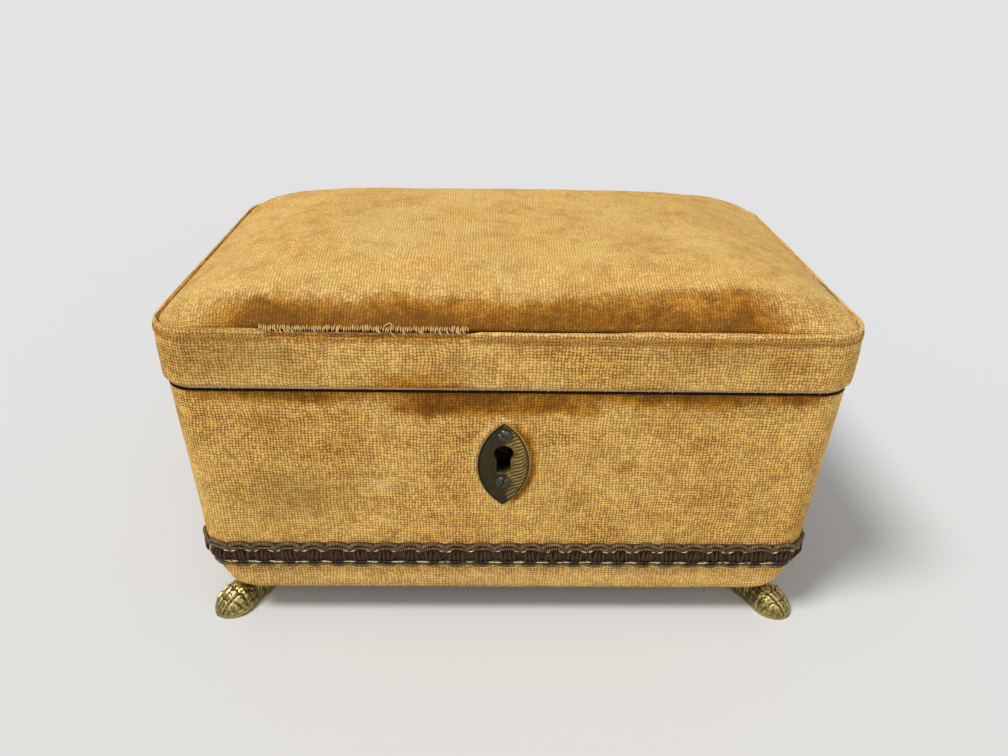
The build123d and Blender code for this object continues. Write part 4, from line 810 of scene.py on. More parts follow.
def build_cushion():
    points, faces = padded_form(108.6, 67.6, 12.5, CUSHION_BASE - 1.4, CUSHION_HEIGHT + 0.9, 8.0)
    mesh = outward(from_points("lid_cushion_cloth", points, faces))
    mesh = puff("lid_cushion_cloth", mesh, 2.6, 4.0, 1.2, CUSHION_BASE - 1.4)
    mesh = smooth_out("lid_cushion_cloth", mesh, 1, 5)
    for vertex in mesh.vertices:
        vertex.co.z = max(vertex.co.z, (CUSHION_BASE + 0.05) * MM)
        low = band(vertex.co.z / MM, 0, LIP_TOP + 0.25, 0.3)
        x, y = held_in(vertex.co / MM, 0.55 + 1.1 * low)
        vertex.co.x, vertex.co.y = x * MM, y * MM
        p = vertex.co / MM
        top = band(p[2], CUSHION_BASE + 2, 200, 3)
        lift = 0.5 * cloud(p, 46, 3) + 0.2 * cloud(p, 15, 6)
        lift -= 0.8 * blob(p, (52, -10, 124), (60, 34, 60)) * 0.4
        vertex.co.z += lift * top * MM
        vertex.co.z = min(vertex.co.z, (CUSHION_BASE + CUSHION_HEIGHT + 0.6) * MM)
    mesh.update()

    def mapping(point, normal):
        slope = max(0.0, CUSHION_BASE + CUSHION_HEIGHT - point[2])
        return point[0], point[1] + slope * min(max(point[1] / 50, -1), 1)

    lay_cloth(mesh, mapping)

    def nap_at(p):
        depth = CUSHION_BASE + CUSHION_HEIGHT - p[2]
        front = band(p[1], -70, -52, 5)
        waver = 1.5 * ripple(p[0] / 13, 1.7, 0) + 1.0 * ripple(p[0] / 4, 5.7, 0)
        start = 5.6 - 2.4 * band(p[0], 36, 200, 40) + 0.8 * waver
        # slope and upper darken the pad's steep front: painted shade where the cloth turns down away
        # from the light.
        slope = front * band(depth, start, 60, 4.0) * band(p[0], -90, 84, 28)
        slope *= 0.86 + 0.26 * ripple(p[0] / 20, 3.1, 0) + 0.4 * band(depth, 8.6, 60, 4)
        upper = 0.35 * front * band(depth, start - 2.2, 60, 1.8) * band(p[0], -60, 104, 20)
        left = 0.3 * band(p[0], -110, -98, 5) * band(depth, 4, 20, 3)
        right = 0.12 * band(p[0], 92, 112, 8) * band(depth, 2, 20, 3)
        general = 0.6 * cloud(p, 40, 9) + 0.3 * cloud(p, 10, 4)
        streak = blobs(p, (0.6, (66, 8, 124), (34, 26, 30)), (0.4, (70, -34, 122), (30, 12, 30)),
                       (0.35, (-70, 30, 124), (26, 18, 30)))
        soft = left + right + 0.33 * max(general, 0) + streak * (0.5 + cloud(p, 12, 1))
        return clamp(max(slope, upper) + soft * 0.8, 1.35)

    def worn_at(p):
        spots = blobs(p, (1, (-69, -16, 124), (4.5, 3.4, 30)), (1, (-31, -36, 123), (4.5, 2.0, 30)),
                      (0.7, (-24, -39, 123), (3, 1.2, 30)), (0.9, (34, -5, 124), (13, 2.6, 30)),
                      (0.6, (40, -9, 124), (4, 2, 30)), (0.5, (-78, -25, 124), (3, 2, 30)))
        return clamp(spots * (0.7 + 0.9 * cloud(p, 3, 3)) + 0.3 * max(cloud(p, 19, 14), 0))

    mark(mesh, nap=nap_at, worn=worn_at, soiled=lambda p: max(0.0, 0.35 * cloud(p, 30, 21)))
    piece = settle("lid_cushion_cloth", mesh, "lid", VELVET_TOP_LIT)
    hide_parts("lid_cushion")


# ---------------------------------------------------------------- repeats by geometry nodes
def scatter_tree(name, material):
    """Turns copies of one shape to each point's facing and direction, and makes them real."""
    tree = bpy.data.node_groups.new(name, "GeometryNodeTree")
    face = tree.interface
    face.new_socket("Geometry", in_out="INPUT", socket_type="NodeSocketGeometry")
    face.new_socket("Shape", in_out="INPUT", socket_type="NodeSocketObject")
    size = face.new_socket("Size", in_out="INPUT", socket_type="NodeSocketFloat")
    size.default_value = 1.0
    vary = face.new_socket("Variation", in_out="INPUT", socket_type="NodeSocketFloat")
    vary.default_value = 0.0
    face.new_socket("Geometry", in_out="OUTPUT", socket_type="NodeSocketGeometry")
    w = Wiring(tree)
    given, put = w.add("NodeGroupInput").outputs, w.add("NodeGroupOutput").inputs
    shape = w.add("GeometryNodeObjectInfo", {0: given["Shape"]})
    facing = w.add("GeometryNodeInputNamedAttribute", {"Name": "facing"},
                   data_type="FLOAT_VECTOR").outputs[0]
    heading = w.add("GeometryNodeInputNamedAttribute", {"Name": "heading"},
                    data_type="FLOAT_VECTOR").outputs[0]
    turn = w.add("FunctionNodeAlignEulerToVector", {"Vector": facing}, axis="Z")
    turn = w.add("FunctionNodeAlignEulerToVector", {"Rotation": turn.outputs[0], "Vector": heading},
                 axis="X", pivot_axis="Z")
    wobble = w.add("FunctionNodeRandomValue", data_type="FLOAT")
    w.feed(w.minus(given["Size"], given["Variation"]), wobble.inputs[2])
    w.feed(w.plus(given["Size"], given["Variation"]), wobble.inputs[3])
    wobble.inputs["Seed"].default_value = 11
    copies = w.add("GeometryNodeInstanceOnPoints", {"Points": given["Geometry"],
                                                    "Instance": shape.outputs["Geometry"],
                                                    "Rotation": turn.outputs[0],
                                                    "Scale": wobble.outputs[1]})
    real = w.add("GeometryNodeRealizeInstances", {0: copies.outputs[0]})
    dressed = w.add("GeometryNodeSetMaterial", {"Geometry": real.outputs[0]})
    dressed.inputs["Material"].default_value = material
    w.feed(dressed.outputs[0], put["Geometry"])
    return tree


def scatter(name, places, shape_mesh, body, material, size=1.0, variation=0.0, smooth=True):
    """A piece made of one shape repeated at places: (point, facing, heading), in millimetres."""
    guide = bpy.data.meshes.new(name + "_guide")
    guide.from_pydata([tuple(c * MM for c in p) for p, _, _ in places], [], [])
    for label, index in (("facing", 1), ("heading", 2)):
        attribute = guide.attributes.new(label, "FLOAT_VECTOR", "POINT")
        attribute.data.foreach_set("vector", [c for place in places for c in place[index]])
    holder = loose(name + "_guide", guide)
    source = loose(name + "_shape", shape_mesh)
    modifier = holder.modifiers.new("copies", "NODES")
    modifier.node_group = scatter_tree(name + " copies", material)
    for item in modifier.node_group.interface.items_tree:
        if item.in_out == "INPUT" and item.name == "Shape":
            modifier[item.identifier] = source
        if item.in_out == "INPUT" and item.name == "Size":
            modifier[item.identifier] = size
        if item.in_out == "INPUT" and item.name == "Variation":
            modifier[item.identifier] = variation
    mesh = evaluated(holder)
    bpy.data.objects.remove(source)
    return settle(name, mesh, body, material, smooth)


def sliver(length, width, height, bend=0.0, sides=5, rings=5):
    """A little tapered thread lying along X, in millimetres, as a mesh."""
    rows = []
    for number in range(rings + 1):
        share = number / rings
        girth = max(sin(pi * (0.06 + 0.88 * share)), 0.15)
        x = (share - 0.5) * length
        lift = height * 0.5 + bend * sin(pi * share)
        rows.append([(x, width / 2 * girth * cos(2 * pi * n / sides),
                      lift + height / 2 * girth * sin(2 * pi * n / sides))
                     for n in range(sides)])
    points, faces = skin_rows(rows, cap=True)
    return outward(from_points("sliver", points, faces))


def rim_places(heights, pitch, offset, turn_up, half_long, half_wide, radius, jitter=0.0, keep=None,
               seed=1):
    """Places along a rounded rectangle at given heights, each with a heading that leans up."""
    rng = random.Random(seed)
    places = []
    outline = ring(half_long, half_wide, radius, 400, 260, 30)
    lengths = [0.0]
    for a, b in zip(outline, outline[1:] + outline[:1]):
        lengths.append(lengths[-1] + hypot(b[0] - a[0], b[1] - a[1]))
    total = lengths[-1]
    for level, lean in zip(heights, turn_up):
        along, index = rng.random() * pitch, 0
        while along < total:
            while lengths[index + 1] < along:
                index += 1
            x, y, nx, ny = outline[index]
            share = (along - lengths[index]) / max(lengths[index + 1] - lengths[index], 1e-9)
            bx, by = outline[(index + 1) % len(outline)][:2]
            x, y = x + (bx - x) * share, y + (by - y) * share
            wander = (rng.random() - 0.5) * jitter
            angle = lean + (rng.random() - 0.5) * jitter * 0.5
            if keep is None or keep(x, y, rng):
                heading = (-ny * cos(angle), nx * cos(angle), sin(angle))
                places.append(((x + nx * offset, y + ny * offset, level + wander * 0.4), (nx, ny, 0.0),
                               heading))
            along += pitch * (1 + wander * 0.3)
    return places


def shadow_tape(name, body, half_long, half_wide, radius, profile, material, at_hinges=False):
    """A dark tape round a joint, a closed band; at the hinges it dips out of sight."""
    rows = []
    for shift, level in profile + profile[:1]:
        row = []
        for x, y, nx, ny in ring(half_long, half_wide, radius, 120, 80, 12):
            dip = band(abs(x), 50, 74, 2) if at_hinges and y > 60 else 0.0
            reach = shift + (-0.45 - 0.1 * shift - shift) * dip
            row.append((x + nx * reach, y + ny * reach, level - 2.0 * dip))
        rows.append(row)
    points, faces = skin_rows(rows)
    settle(name, outward(from_points(name, points, faces)), body, material)


def build_trims():
    stitch = sliver(1.3, 0.46, 0.4, 0.05)
    lean = radians(48)
    sewn = lambda x, y, rng: not (y < -60 and torn(x) > 0.4) or rng.random() < 0.6
    places = rim_places((108.9, 107.9), 0.95, 0.1, (lean, -lean), LID_HALF_LENGTH, LID_HALF_DEPTH,
                        LID_CORNER, 0.3, sewn, 4)
    scatter("lip_stitches", places, stitch, "lid", GOLD_THREAD, 1.0, 0.15)
    rng = random.Random(8)
    x, places = -73.5, []
    while x < -12.5:
        if torn(x) > 0.3:
            sway = rng.uniform(-0.1, 0.34)
            high = 111.7 + rng.uniform(-0.3, 0.25)
            places.append(((x, -66.45 + rng.uniform(-0.1, 0.15), high), (0, -1, 0.3), (sway, 0.12, 1)))
            if rng.random() < 0.25:
                places.append(((x + 0.2, -66.9, high - 0.7), (0, -1, 0.2), (sway - 0.7, 0.1, 1)))
        x += rng.uniform(0.55, 0.8)
    scatter("seam_fringe", places, sliver(1.8, 0.5, 0.42, 0.12), "lid", PALE_THREAD, 1.0, 0.2)
    ragged = lambda x, y, rng: y < -60 and x < -70 and rng.random() < 0.75
    places = rim_places((111.0, 110.6), 0.9, -0.5, (radians(25), radians(-15)), LID_HALF_LENGTH,
                        LID_HALF_DEPTH, LID_CORNER,
                        1.3, ragged, 7)
    scatter("ragged_seam", places, sliver(1.7, 0.34, 0.3, 0.25), "lid", GOLD_THREAD, 0.9, 0.3)
    shadow_tape("seam_shadow_tape", "lid", LID_HALF_LENGTH, LID_HALF_DEPTH, LID_CORNER,
                [(-0.95, 108.6), (-0.95, 111.05), (-1.2, 111.05), (-1.2, 108.6)], SEAM_SHADE)
    shadow_tape("lid_joint_shadow_tape", "case", CASE_HALF_LENGTH, CASE_HALF_DEPTH, CORNER_RADIUS,
                [(-0.02, 90.0), (-0.3, 90.75), (-0.9, 91.16), (-1.9, 91.22), (-1.9, 90.9),
                 (-0.6, 89.9)], JOINT_SHADE, True)
    hem = lambda x, y, rng: y < 0 and abs(x) < 97 and rng.random() < 0.5
    places = rim_places((92.2,), 0.9, 0.12, (radians(80),), LID_HALF_LENGTH, LID_HALF_DEPTH,
                        LID_CORNER, 0.9, hem, 9)
    scatter("lid_hem_fuzz", places, sliver(1.1, 0.2, 0.2, 0.15, 4, 4), "lid", PALE_THREAD,
            0.8, 0.35)
    curl_paths = (
        ("curl_on_seam", "lid", [(-37.6, -66.6, 112.2), (-36.9, -66.8, 113.1), (-35.9, -66.9, 113.7),
                                 (-35.1, -67.0, 113.3),
                                 (-35.2, -67.3, 112.2), (-35.6, -67.6, 111.2), (-34.6, -67.9, 110.2),
                                 (-33.7, -67.8, 109.4)]),
        ("curl_on_case", "case", [(-68.2, -65.9, 68.4), (-67.6, -66.4, 69.4), (-66.5, -66.6, 69.8),
                                  (-65.6, -66.5, 69.2),
                                  (-65.9, -66.3, 68.2), (-66.9, -66.2, 67.6)]),
    )
    for name, body, path in curl_paths:
        settle(name, tube(path, 0.17, 5), body, PALE_THREAD)


def tube(path, radius, sides=6, closed=False, facing=None):
    """A round cord along points, in millimetres, with its cord map; facing gives each normal."""
    count = len(path)
    rows, lengths = [], [0.0]
    for number, centre in enumerate(path):
        before = Vector(path[number - 1] if closed or number else path[0])
        after = Vector(path[(number + 1) % count] if closed or number + 1 < count else path[-1])
        heading = (after - before).normalized()
        normal = Vector(facing[number]) if facing else Vector((0.2, -1, 0.3))
        side = heading.cross(normal).normalized()
        normal = side.cross(heading)
        girth = radius if isinstance(radius, (int, float)) else radius[number]
        rows.append([tuple(Vector(centre) + girth * (cos(2 * pi * n / sides) * normal
                                                     + sin(2 * pi * n / sides) * side))
                     for n in range(sides)])
        if number:
            lengths.append(lengths[-1] + (Vector(centre) - Vector(path[number - 1])).length)
    if closed:
        rows.append(rows[0])
        lengths.append(lengths[-1] + (Vector(path[0]) - Vector(path[-1])).length)
    points, faces = skin_rows(rows, cap=not closed)
    mesh = bpy.data.meshes.new("cord")
    mesh.from_pydata([tuple(c * MM for c in p) for p in points], [], faces)
    layer = mesh.uv_layers.new(name="cord")
    for face in mesh.polygons:
        corners = [mesh.loops[corner].vertex_index for corner in face.loop_indices]
        wraps = {0, sides - 1} <= {vertex % sides for vertex in corners} and len(corners) == 4
        for corner, vertex in zip(face.loop_indices, corners):
            turn = vertex % sides
            turn = sides if wraps and turn == 0 else turn
            layer.data[corner].uv = (lengths[vertex // sides], turn / sides)
    shape = bmesh.new()
    shape.from_mesh(mesh)
    bmesh.ops.remove_doubles(shape, verts=shape.verts, dist=0.001 * MM)
    bmesh.ops.recalc_face_normals(shape, faces=shape.faces)
    shape.to_mesh(mesh)
    shape.free()
    return mesh


# ---------------------------------------------------------------- braid
class BraidPath:
    """Places round the case by length along the braid and by height."""

    def __init__(self):
        self.outlines = {}
        self.length = self.outline(BRAID_LOW + 5.0)[1][-1]

    def outline(self, level):
        key = round(level * 4)
        if key not in self.outlines:
            height = key / 4
            points = ring(case_reach(height), CASE_HALF_DEPTH, case_corner(height), 360, 224, 24)
            points.append(points[0])
            lengths = [0.0]
            for a, b in zip(points, points[1:]):
                lengths.append(lengths[-1] + hypot(b[0] - a[0], b[1] - a[1]))
            self.outlines[key] = (points, lengths)
        return self.outlines[key]

    def at(self, share, level, proud):
        """The point a share of the way round, at a height, standing proud; and its normal."""
        points, lengths = self.outline(level)
        aim = (share % 1.0) * lengths[-1]
        low, high = 0, len(lengths) - 1
        while high - low > 1:
            middle = (low + high) // 2
            low, high = (middle, high) if lengths[middle] <= aim else (low, middle)
        part = (aim - lengths[low]) / max(lengths[high] - lengths[low], 1e-9)
        a, b = points[low], points[high]
        x, y, nx, ny = (a[i] + (b[i] - a[i]) * part for i in range(4))
        stretch = hypot(nx, ny)
        nx, ny = nx / stretch, ny / stretch
        return (x + nx * proud, y + ny * proud, level), (nx, ny, 0.0)


def build_braid():
    path = BraidPath()
    count = round(path.length / BRAID_PITCH)

    def beat(share):
        """Scallops passed so far; the pitch wanders a little, as the real braid's does."""
        turn = 2 * pi * share
        wander = ripple(3.1 * cos(turn), 3.1 * sin(turn), 2.0) * 0.5
        return share * count + wander + 0.09 * ripple(40 * cos(turn), 40 * sin(turn), 5.0)

    rows = []
    steps = count * 14
    profile = [(0.7, 0.02), (0.9, 0.3), (2.2, 0.42), (3.4, 0.5), (5.4, 0.62), (7.4, 0.5), (8.6, 0.42),
               (9.6, 0.3), (9.8, 0.02)]
    for rise, proud in profile:
        row = []
        for number in range(steps):
            share = number / steps
            arch = abs(sin(pi * beat(share)))
            wave = 0.5 * arch if rise > 9 else -0.45 * arch if rise < 1 else 0.0
            row.append(path.at(share, BRAID_LOW + rise + wave, proud)[0])
        rows.append(row)
    points, faces = skin_rows(rows)
    mesh = from_points("braid_band", points, faces)
    layer = mesh.uv_layers.new(name="cord")
    for face in mesh.polygons:
        for corner in face.loop_indices:
            vertex = mesh.loops[corner].vertex_index
            layer.data[corner].uv = (vertex % steps / 14 * BRAID_PITCH, vertex // steps * 0.7)
    piece = settle("braid_band", mesh, "case", BRAID_CORE)
    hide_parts("braid")

    def cord(name, low, rise, sharp, proud, lift, radius, material, shift=0.0):
        """One cord that arches over every block of the braid."""
        steps = count * 16
        line, normals = [], []
        for number in range(steps):
            share = number / steps
            arch = abs(sin(pi * (beat(share) + shift))) ** sharp
            jitter = 0.14 * ripple(share * 260, low, 1.0)
            point, normal = path.at(share, BRAID_LOW + low + rise * arch + jitter, proud + lift * arch)
            line.append(point)
            normals.append(normal)
        settle(name, tube(line, radius, 7, True, normals), "case", material)

    cord("braid_upper_scallop", 8.0, 2.1, 0.65, 0.65, 0.1, 0.7, BRAID_CORD)
    cord("braid_upper_inner", 7.2, 1.25, 0.7, 0.7, 0.2, 0.52, BRAID_CORD)
    cord("braid_lower_scallop", 2.5, -1.55, 0.7, 0.6, 0.1, 0.6, BRAID_CORD)
    cord("braid_lower_inner", 3.2, -0.7, 0.8, 0.7, 0.1, 0.42, BRAID_CORE)

    rng = random.Random(5)
    blocks, glints = [], []
    for number in range(count):
        middle = number + 0.5
        share = middle / count
        for _ in range(3):
            share += (middle - beat(share)) / count
        for step in (-0.27, -0.09, 0.09, 0.27):
            place = share + (step + rng.uniform(-0.02, 0.02)) / count
            point, normal = path.at(place, BRAID_LOW + 5.25 + rng.uniform(-0.25, 0.25), 0.45)
            side = Vector(normal).cross(Vector((0, 0, 1)))
            tilt = side * rng.uniform(-0.22, 0.22)
            blocks.append((point, normal, (tilt.x, tilt.y, 1.0)))
        for rise, length in ((7.5, 0.42), (2.95, 0.42), (2.9, 0.2)):
            for part in (-1, 1):
                if rng.random() < 0.82:
                    place = share + (0.5 + part * length / 2.6 + rng.uniform(-0.03, 0.03)) / count
                    point, normal = path.at(place, BRAID_LOW + rise + rng.uniform(-0.15, 0.15), 1.0)
                    side = Vector(normal).cross(Vector((0, 0, -1)))
                    lift = (0.3 if rise > 5 else -0.1) * part + rng.uniform(-0.1, 0.1)
                    glints.append((point, normal, (side.x, side.y, lift)))
    scatter("braid_blocks", blocks, sliver(4.4, 1.35, 1.2, 0.3, 7, 5), "case", BRAID_BLOCK,
            1.0, 0.1)
    scatter("braid_glints", glints, sliver(2.1, 0.42, 0.4, 0.15, 5, 4), "case", BRAID_THREAD,
            1.0, 0.2)


# ---------------------------------------------------------------- lock plate
def plate_reach(angle, from_z):
    """Distance from a point on the middle line to the plate's pointed outline."""
    bow = (PLATE_HALF_HEIGHT ** 2 + PLATE_HALF_WIDTH ** 2) / (2 * PLATE_HALF_WIDTH)
    c, s = cos(angle), sin(angle)
    low, high = 0.0, 20.0
    for _ in range(36):
        middle = (low + high) / 2
        x, z = abs(middle * c), from_z + middle * s - PLATE_MIDDLE
        inside = hypot(x + bow - PLATE_HALF_WIDTH, z) < bow
        low, high = (middle, high) if inside else (low, middle)
    return low


def keyhole_reach(angle, from_z):
    c, s = cos(angle), sin(angle)
    reach = 0.0
    while True:
        x, z = reach * c, from_z + reach * s
        if not (hypot(x, z - KEY_EYE) < KEY_EYE_RADIUS
                or (abs(x) < KEY_SLOT_HALF and KEY_SLOT_END < z < KEY_EYE)):
            return reach
        reach += 0.02


def build_plate():
    middle_z, count, steps = 66.0, 460, 44
    rows, rubbed = [], []
    surface = -CASE_HALF_DEPTH - 0.02
    for number in range(steps + 1):
        share = number / steps
        row = []
        for n in range(count):
            angle = 2 * pi * n / count
            inner, outer = keyhole_reach(angle, middle_z), plate_reach(angle, middle_z)
            reach = inner + (outer - inner) * share
            x, z = reach * cos(angle), middle_z + reach * sin(angle)
            from_edge, from_hole = outer - reach, reach - inner
            height = 0.4 + 1.05 * (1 - exp(-from_edge / 3.0))
            field = band(from_edge, 0.9, 50, 0.5) * band(from_hole, 0.9, 50, 0.4)
            for level in PLATE_SCREWS:
                field *= band(hypot(x, z - level), 2.9, 99, 0.5)
            right = band(x + 0.25 * (z - PLATE_MIDDLE) / 6, 0.6, 50, 1.2)
            fine = 0.06 * sin(2 * pi * (z + 0.9 * x) / 0.8)
            curve = z - 0.16 * x - 0.06 * (x - 2.5) ** 2 + 0.25 * sin(1.3 * x)
            bold = 0.24 * (abs(sin(pi * curve / 1.3)) ** 0.6 - 0.6)
            if z < 55.2:
                bold = 0.22 * (abs(sin(pi * (z - 0.75 * x) / 1.9)) ** 0.6 - 0.6)
            height += field * (fine * (1 - right) + bold * right)
            height += (0.16 * exp(-((from_edge - 0.35) / 0.25) ** 2)
                       - 0.1 * exp(-((from_edge - 0.85) / 0.3) ** 2))
            height += 0.12 * exp(-((from_hole - 0.45) / 0.3) ** 2)
            collar = hypot(x, (z - PLATE_SCREWS[1]) * 0.9) - 3.1
            if z > PLATE_SCREWS[1]:
                height += 0.2 * exp(-(collar / 0.35) ** 2)
            row.append((PLATE_X + x, surface - height, z))
            bright = (0.32 + 0.24 * right + 0.7 * exp(-((from_edge - 0.2) / 0.2) ** 2)
                      - 0.3 * exp(-((from_edge - 0.8) / 0.3) ** 2))
            bright += (field * (2.6 * bold * right + 3.0 * fine * (1 - right))
                       + 0.1 * band(from_hole, -1, 0.8, 0.5))
            rubbed.append(min(1.0, max(0.0, bright)))
        rows.append(row)
    back = [(x, surface + 0.05, z) for x, _, z in rows[-1]]
    well = [(x, surface + 6.0, z) for x, _, z in rows[0]]
    # The keyhole's well gets 0, the darkest tone: painted shade inside the keyhole; the back gets 0.3.
    rubbed_and_shade = [0.0] * count + rubbed + [0.3] * count
    points, faces = skin_rows([well] + rows + [back])
    mesh = bpy.data.meshes.new("lock_plate_metal")
    mesh.from_pydata([tuple(c * MM for c in p) for p in points], [], faces)
    attribute = mesh.attributes.new("rubbed", "FLOAT", "POINT")
    attribute.data.foreach_set("value", rubbed_and_shade)
    shape = bmesh.new()
    shape.from_mesh(mesh)
    bmesh.ops.recalc_face_normals(shape, faces=shape.faces)
    shape.faces.ensure_lookup_table()
    if shape.faces[len(shape.faces) // 2].normal.y > 0:
        bmesh.ops.reverse_faces(shape, faces=shape.faces)
    shape.to_mesh(mesh)
    shape.free()
    piece = settle("lock_plate_metal", mesh, "case", PLATE_METAL)
    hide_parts("escutcheon")


def slotted_head(radius, height, slot_width, depth):
    """A round screw head, its slot along X, standing on z=0, as a mesh."""
    rows, count = [], 40
    for number in range(9):
        angle = radians(90) * number / 8
        share, rise = cos(angle), sin(angle)
        rows.append([(radius * max(share, 0.02) * cos(2 * pi * n / count),
                      radius * max(share, 0.02) * sin(2 * pi * n / count),
                      height * rise) for n in range(count)])
    rows.insert(0, [(x, y, -0.2) for x, y, _ in rows[0]])
    finer = []
    for a, b in zip(rows, rows[1:]):
        for part in range(3):
            finer.append([tuple(p + (q - p) * part / 3 for p, q in zip(u, v)) for u, v in zip(a, b)])
    finer.append(rows[-1])
    for row in finer:
        for n, (x, y, z) in enumerate(row):
            if abs(y) < slot_width / 2 + 0.12 and z > 0:
                sink = 1.0 if abs(y) < slot_width / 2 else 0.0
                row[n] = (x, y, z - depth * sink)
    points, faces = skin_rows(finer)
    faces.append(tuple((len(finer) - 1) * count + c for c in range(count)))
    return from_points("slotted_head", points, faces)


def build_screws():
    head = slotted_head(2.3, 1.0, 0.7, 0.7)
    places = []
    for level, slot, aside in ((PLATE_SCREWS[0], radians(-38), 0.25),
                               (PLATE_SCREWS[1], radians(66), -0.35)):
        places.append(((PLATE_X + aside, -CASE_HALF_DEPTH - 1.15, level), (0, -1, 0),
                       (cos(slot), 0, sin(slot))))
    piece = scatter("plate_screw_heads", places, head, "case", OLD_STEEL)
    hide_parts("escutcheon_screws")
    small = slotted_head(1.7, 0.5, 0.4, 0.3)
    rng = random.Random(3)

    def spun(x, y, z, up):
        angle = rng.random() * pi
        return (x, y, z), (0, 0, up), (cos(angle), sin(angle), 0)

    leaves = [(side * 62 + step * 7, 60.1) for side in (-1, 1) for step in (-1, 1)]
    scatter("hinge_case_screw_heads", [spun(x, y, 90.72, 1) for x, y in leaves], small, "case",
            OLD_STEEL, 0.5)
    scatter("hinge_lid_screw_heads", [spun(x, y, 91.58, -1) for x, y in leaves], small, "lid",
            OLD_STEEL, 0.5)
    movement = [(39.6, y, 39.16) for y in (-5.2, 10, 25.2)] + [(47.0, -33, 38.73), (79.6, -36.0, 38.73)]
    movement += [(41, 46, 22.9), (41, -46, 22.9), (79, 27, 22.9), (60.0, -14.5, 22.95), (60, 37, 22.95)]
    scatter("movement_screw_heads", [spun(x, y, z, 1) for x, y, z in movement],
            slotted_head(1.8, 1.0, 0.4, 0.45), "case", BRIGHT_STEEL)


# ---------------------------------------------------------------- paw feet
def along_curve(stations, x):
    """Smooth value between stations (x, value), x falling."""
    for (xa, a), (xb, b) in zip(stations, stations[1:]):
        if x >= xb:
            share = (xa - x) / (xa - xb)
            share = 0.5 * share + 0.5 * share * share * (3 - 2 * share)
            return a + (b - a) * share
    return stations[-1][1]


def build_feet():
    """Cast paws: a rounded paw that narrows to a web, with toes and hair in relief."""
    half_width = ((9.2, 0.25), (8.7, 2.0), (7.6, 3.8), (6.0, 5.1), (4.0, 6.0), (1.5, 6.4), (-1.0, 5.9),
                  (-3.5, 4.9), (-6, 3.8),
                  (-9, 3.0), (-12, 2.7), (-15, 3.0), (-18, 4.2), (-21, 5.0), (-24, 4.2), (-25.4, 1.0))
    crown = ((9.2, 0.5), (8.7, 2.3), (7.6, 4.2), (6.0, 5.9), (4.0, 7.4), (1.5, 8.4), (-1.0, 8.7),
             (-3.5, 8.3), (-6, 7.9),
             (-9, 8.6), (-12, 10.2), (-15, 11.6), (-18, 12.0), (-25.4, 12.0))
    under = ((9.2, 0.0), (-10.5, 0.0), (-12, 1.0), (-14, 4.0), (-16, 7.6), (-17.5, 9.6), (-19, 10.7),
             (-25.4, 10.9))
    stations, around = 210, 104
    rows = []
    for number in range(stations + 1):
        share = number / stations
        x = 9.2 - 34.6 * (share ** 1.15)
        wide, high, low = along_curve(half_width, x), along_curve(crown, x), along_curve(under, x)
        row = []
        for n in range(around):
            angle = 2 * pi * n / around
            c, s = cos(angle), sin(angle)
            y = wide * (abs(c) ** 0.85) * (1 if c > 0 else -1)
            z = low + (high - low) * s ** 0.8 if s > 0 else low
            if s <= 0:
                y = wide * c
            if low < 0.4 and 0 <= s < 0.25:
                y *= 1.05
            upper = band(z - low, 1.3, 50, 0.8)
            fan = atan2(y, x + 15.0)
            sweep = (40 * fan * (1 + 0.2 * sin(0.5 * x)) + 0.9 * sin(x * 1.1 + y)
                     + 1.6 * cloud((x, y, z), 2.4, 4))
            hair = (abs(sin(sweep)) ** 0.7 - 0.62) * 0.34 * band(x, -12.5, 4.2 - 0.35 * abs(y), 2.0)
            nearest = min((-3.0, 0.25, 3.3),
                          key=lambda gap: abs(y - gap * (0.72 + 0.28 * min(1, wide / 6))))
            gap = nearest * (0.72 + 0.28 * min(1, wide / 6))
            toes = -0.9 * exp(-((y - gap) / 0.36) ** 2) * band(x, -0.6, 50, 2.0)
            knuckle = -0.4 * exp(-((x - 5.6 + 0.09 * y * y) / 0.36) ** 2) * band(z, 1.9, 50, 0.6)
            tuft = -0.45 * exp(-((x - 1.7 + 0.06 * y * y - 0.35 * sin(2.6 * y)) / 0.45) ** 2)
            claw = 0.35 * exp(-((x - 7.2 + 0.1 * y * y) / 0.8) ** 2) * abs(cos(pi * y / 3.2))
            cut = upper * (hair + toes + knuckle + tuft + claw) + 0.16 * cloud((x, y, z), 0.8, 2)
            if s > 0:
                z += cut * (0.25 + 0.75 * s)
                y += cut * c * 0.7
            row.append((x, y, z))
        rows.append(row)
    points, faces = skin_rows(rows, cap=True)
    for body_name, side_x, side_y in (("front_left", -1, -1), ("front_right", 1, -1),
                                      ("back_left", -1, 1), ("back_right", 1, 1)):
        outward_x, outward_y = side_x * cos(radians(45)), side_y * sin(radians(45))
        placed = []
        for p in points:
            x = side_x * PAW_X + outward_x * p[0] - outward_y * p[1]
            y = side_y * PAW_Y + outward_y * p[0] + outward_x * p[1]
            placed.append((x, y, min(max(p[2], 0.0), 12.0)))
        foot = outward(from_points(body_name + "_paw", placed, faces))
        piece = settle(body_name + "_paw", foot, "case", PAW_BRASS)
        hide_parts(body_name + "_foot")


# ---------------------------------------------------------------- inside
def fill_outline(mesh, middle_x, half_long, half_wide):
    """Stretches a pad that remeshing has drawn in, so that it fills its place again."""
    reach_x = max(abs(v.co.x - middle_x * MM) for v in mesh.vertices)
    reach_y = max(abs(v.co.y) for v in mesh.vertices)
    for vertex in mesh.vertices:
        vertex.co.x = middle_x * MM + (vertex.co.x - middle_x * MM) * half_long * MM / reach_x
        vertex.co.y *= half_wide * MM / reach_y


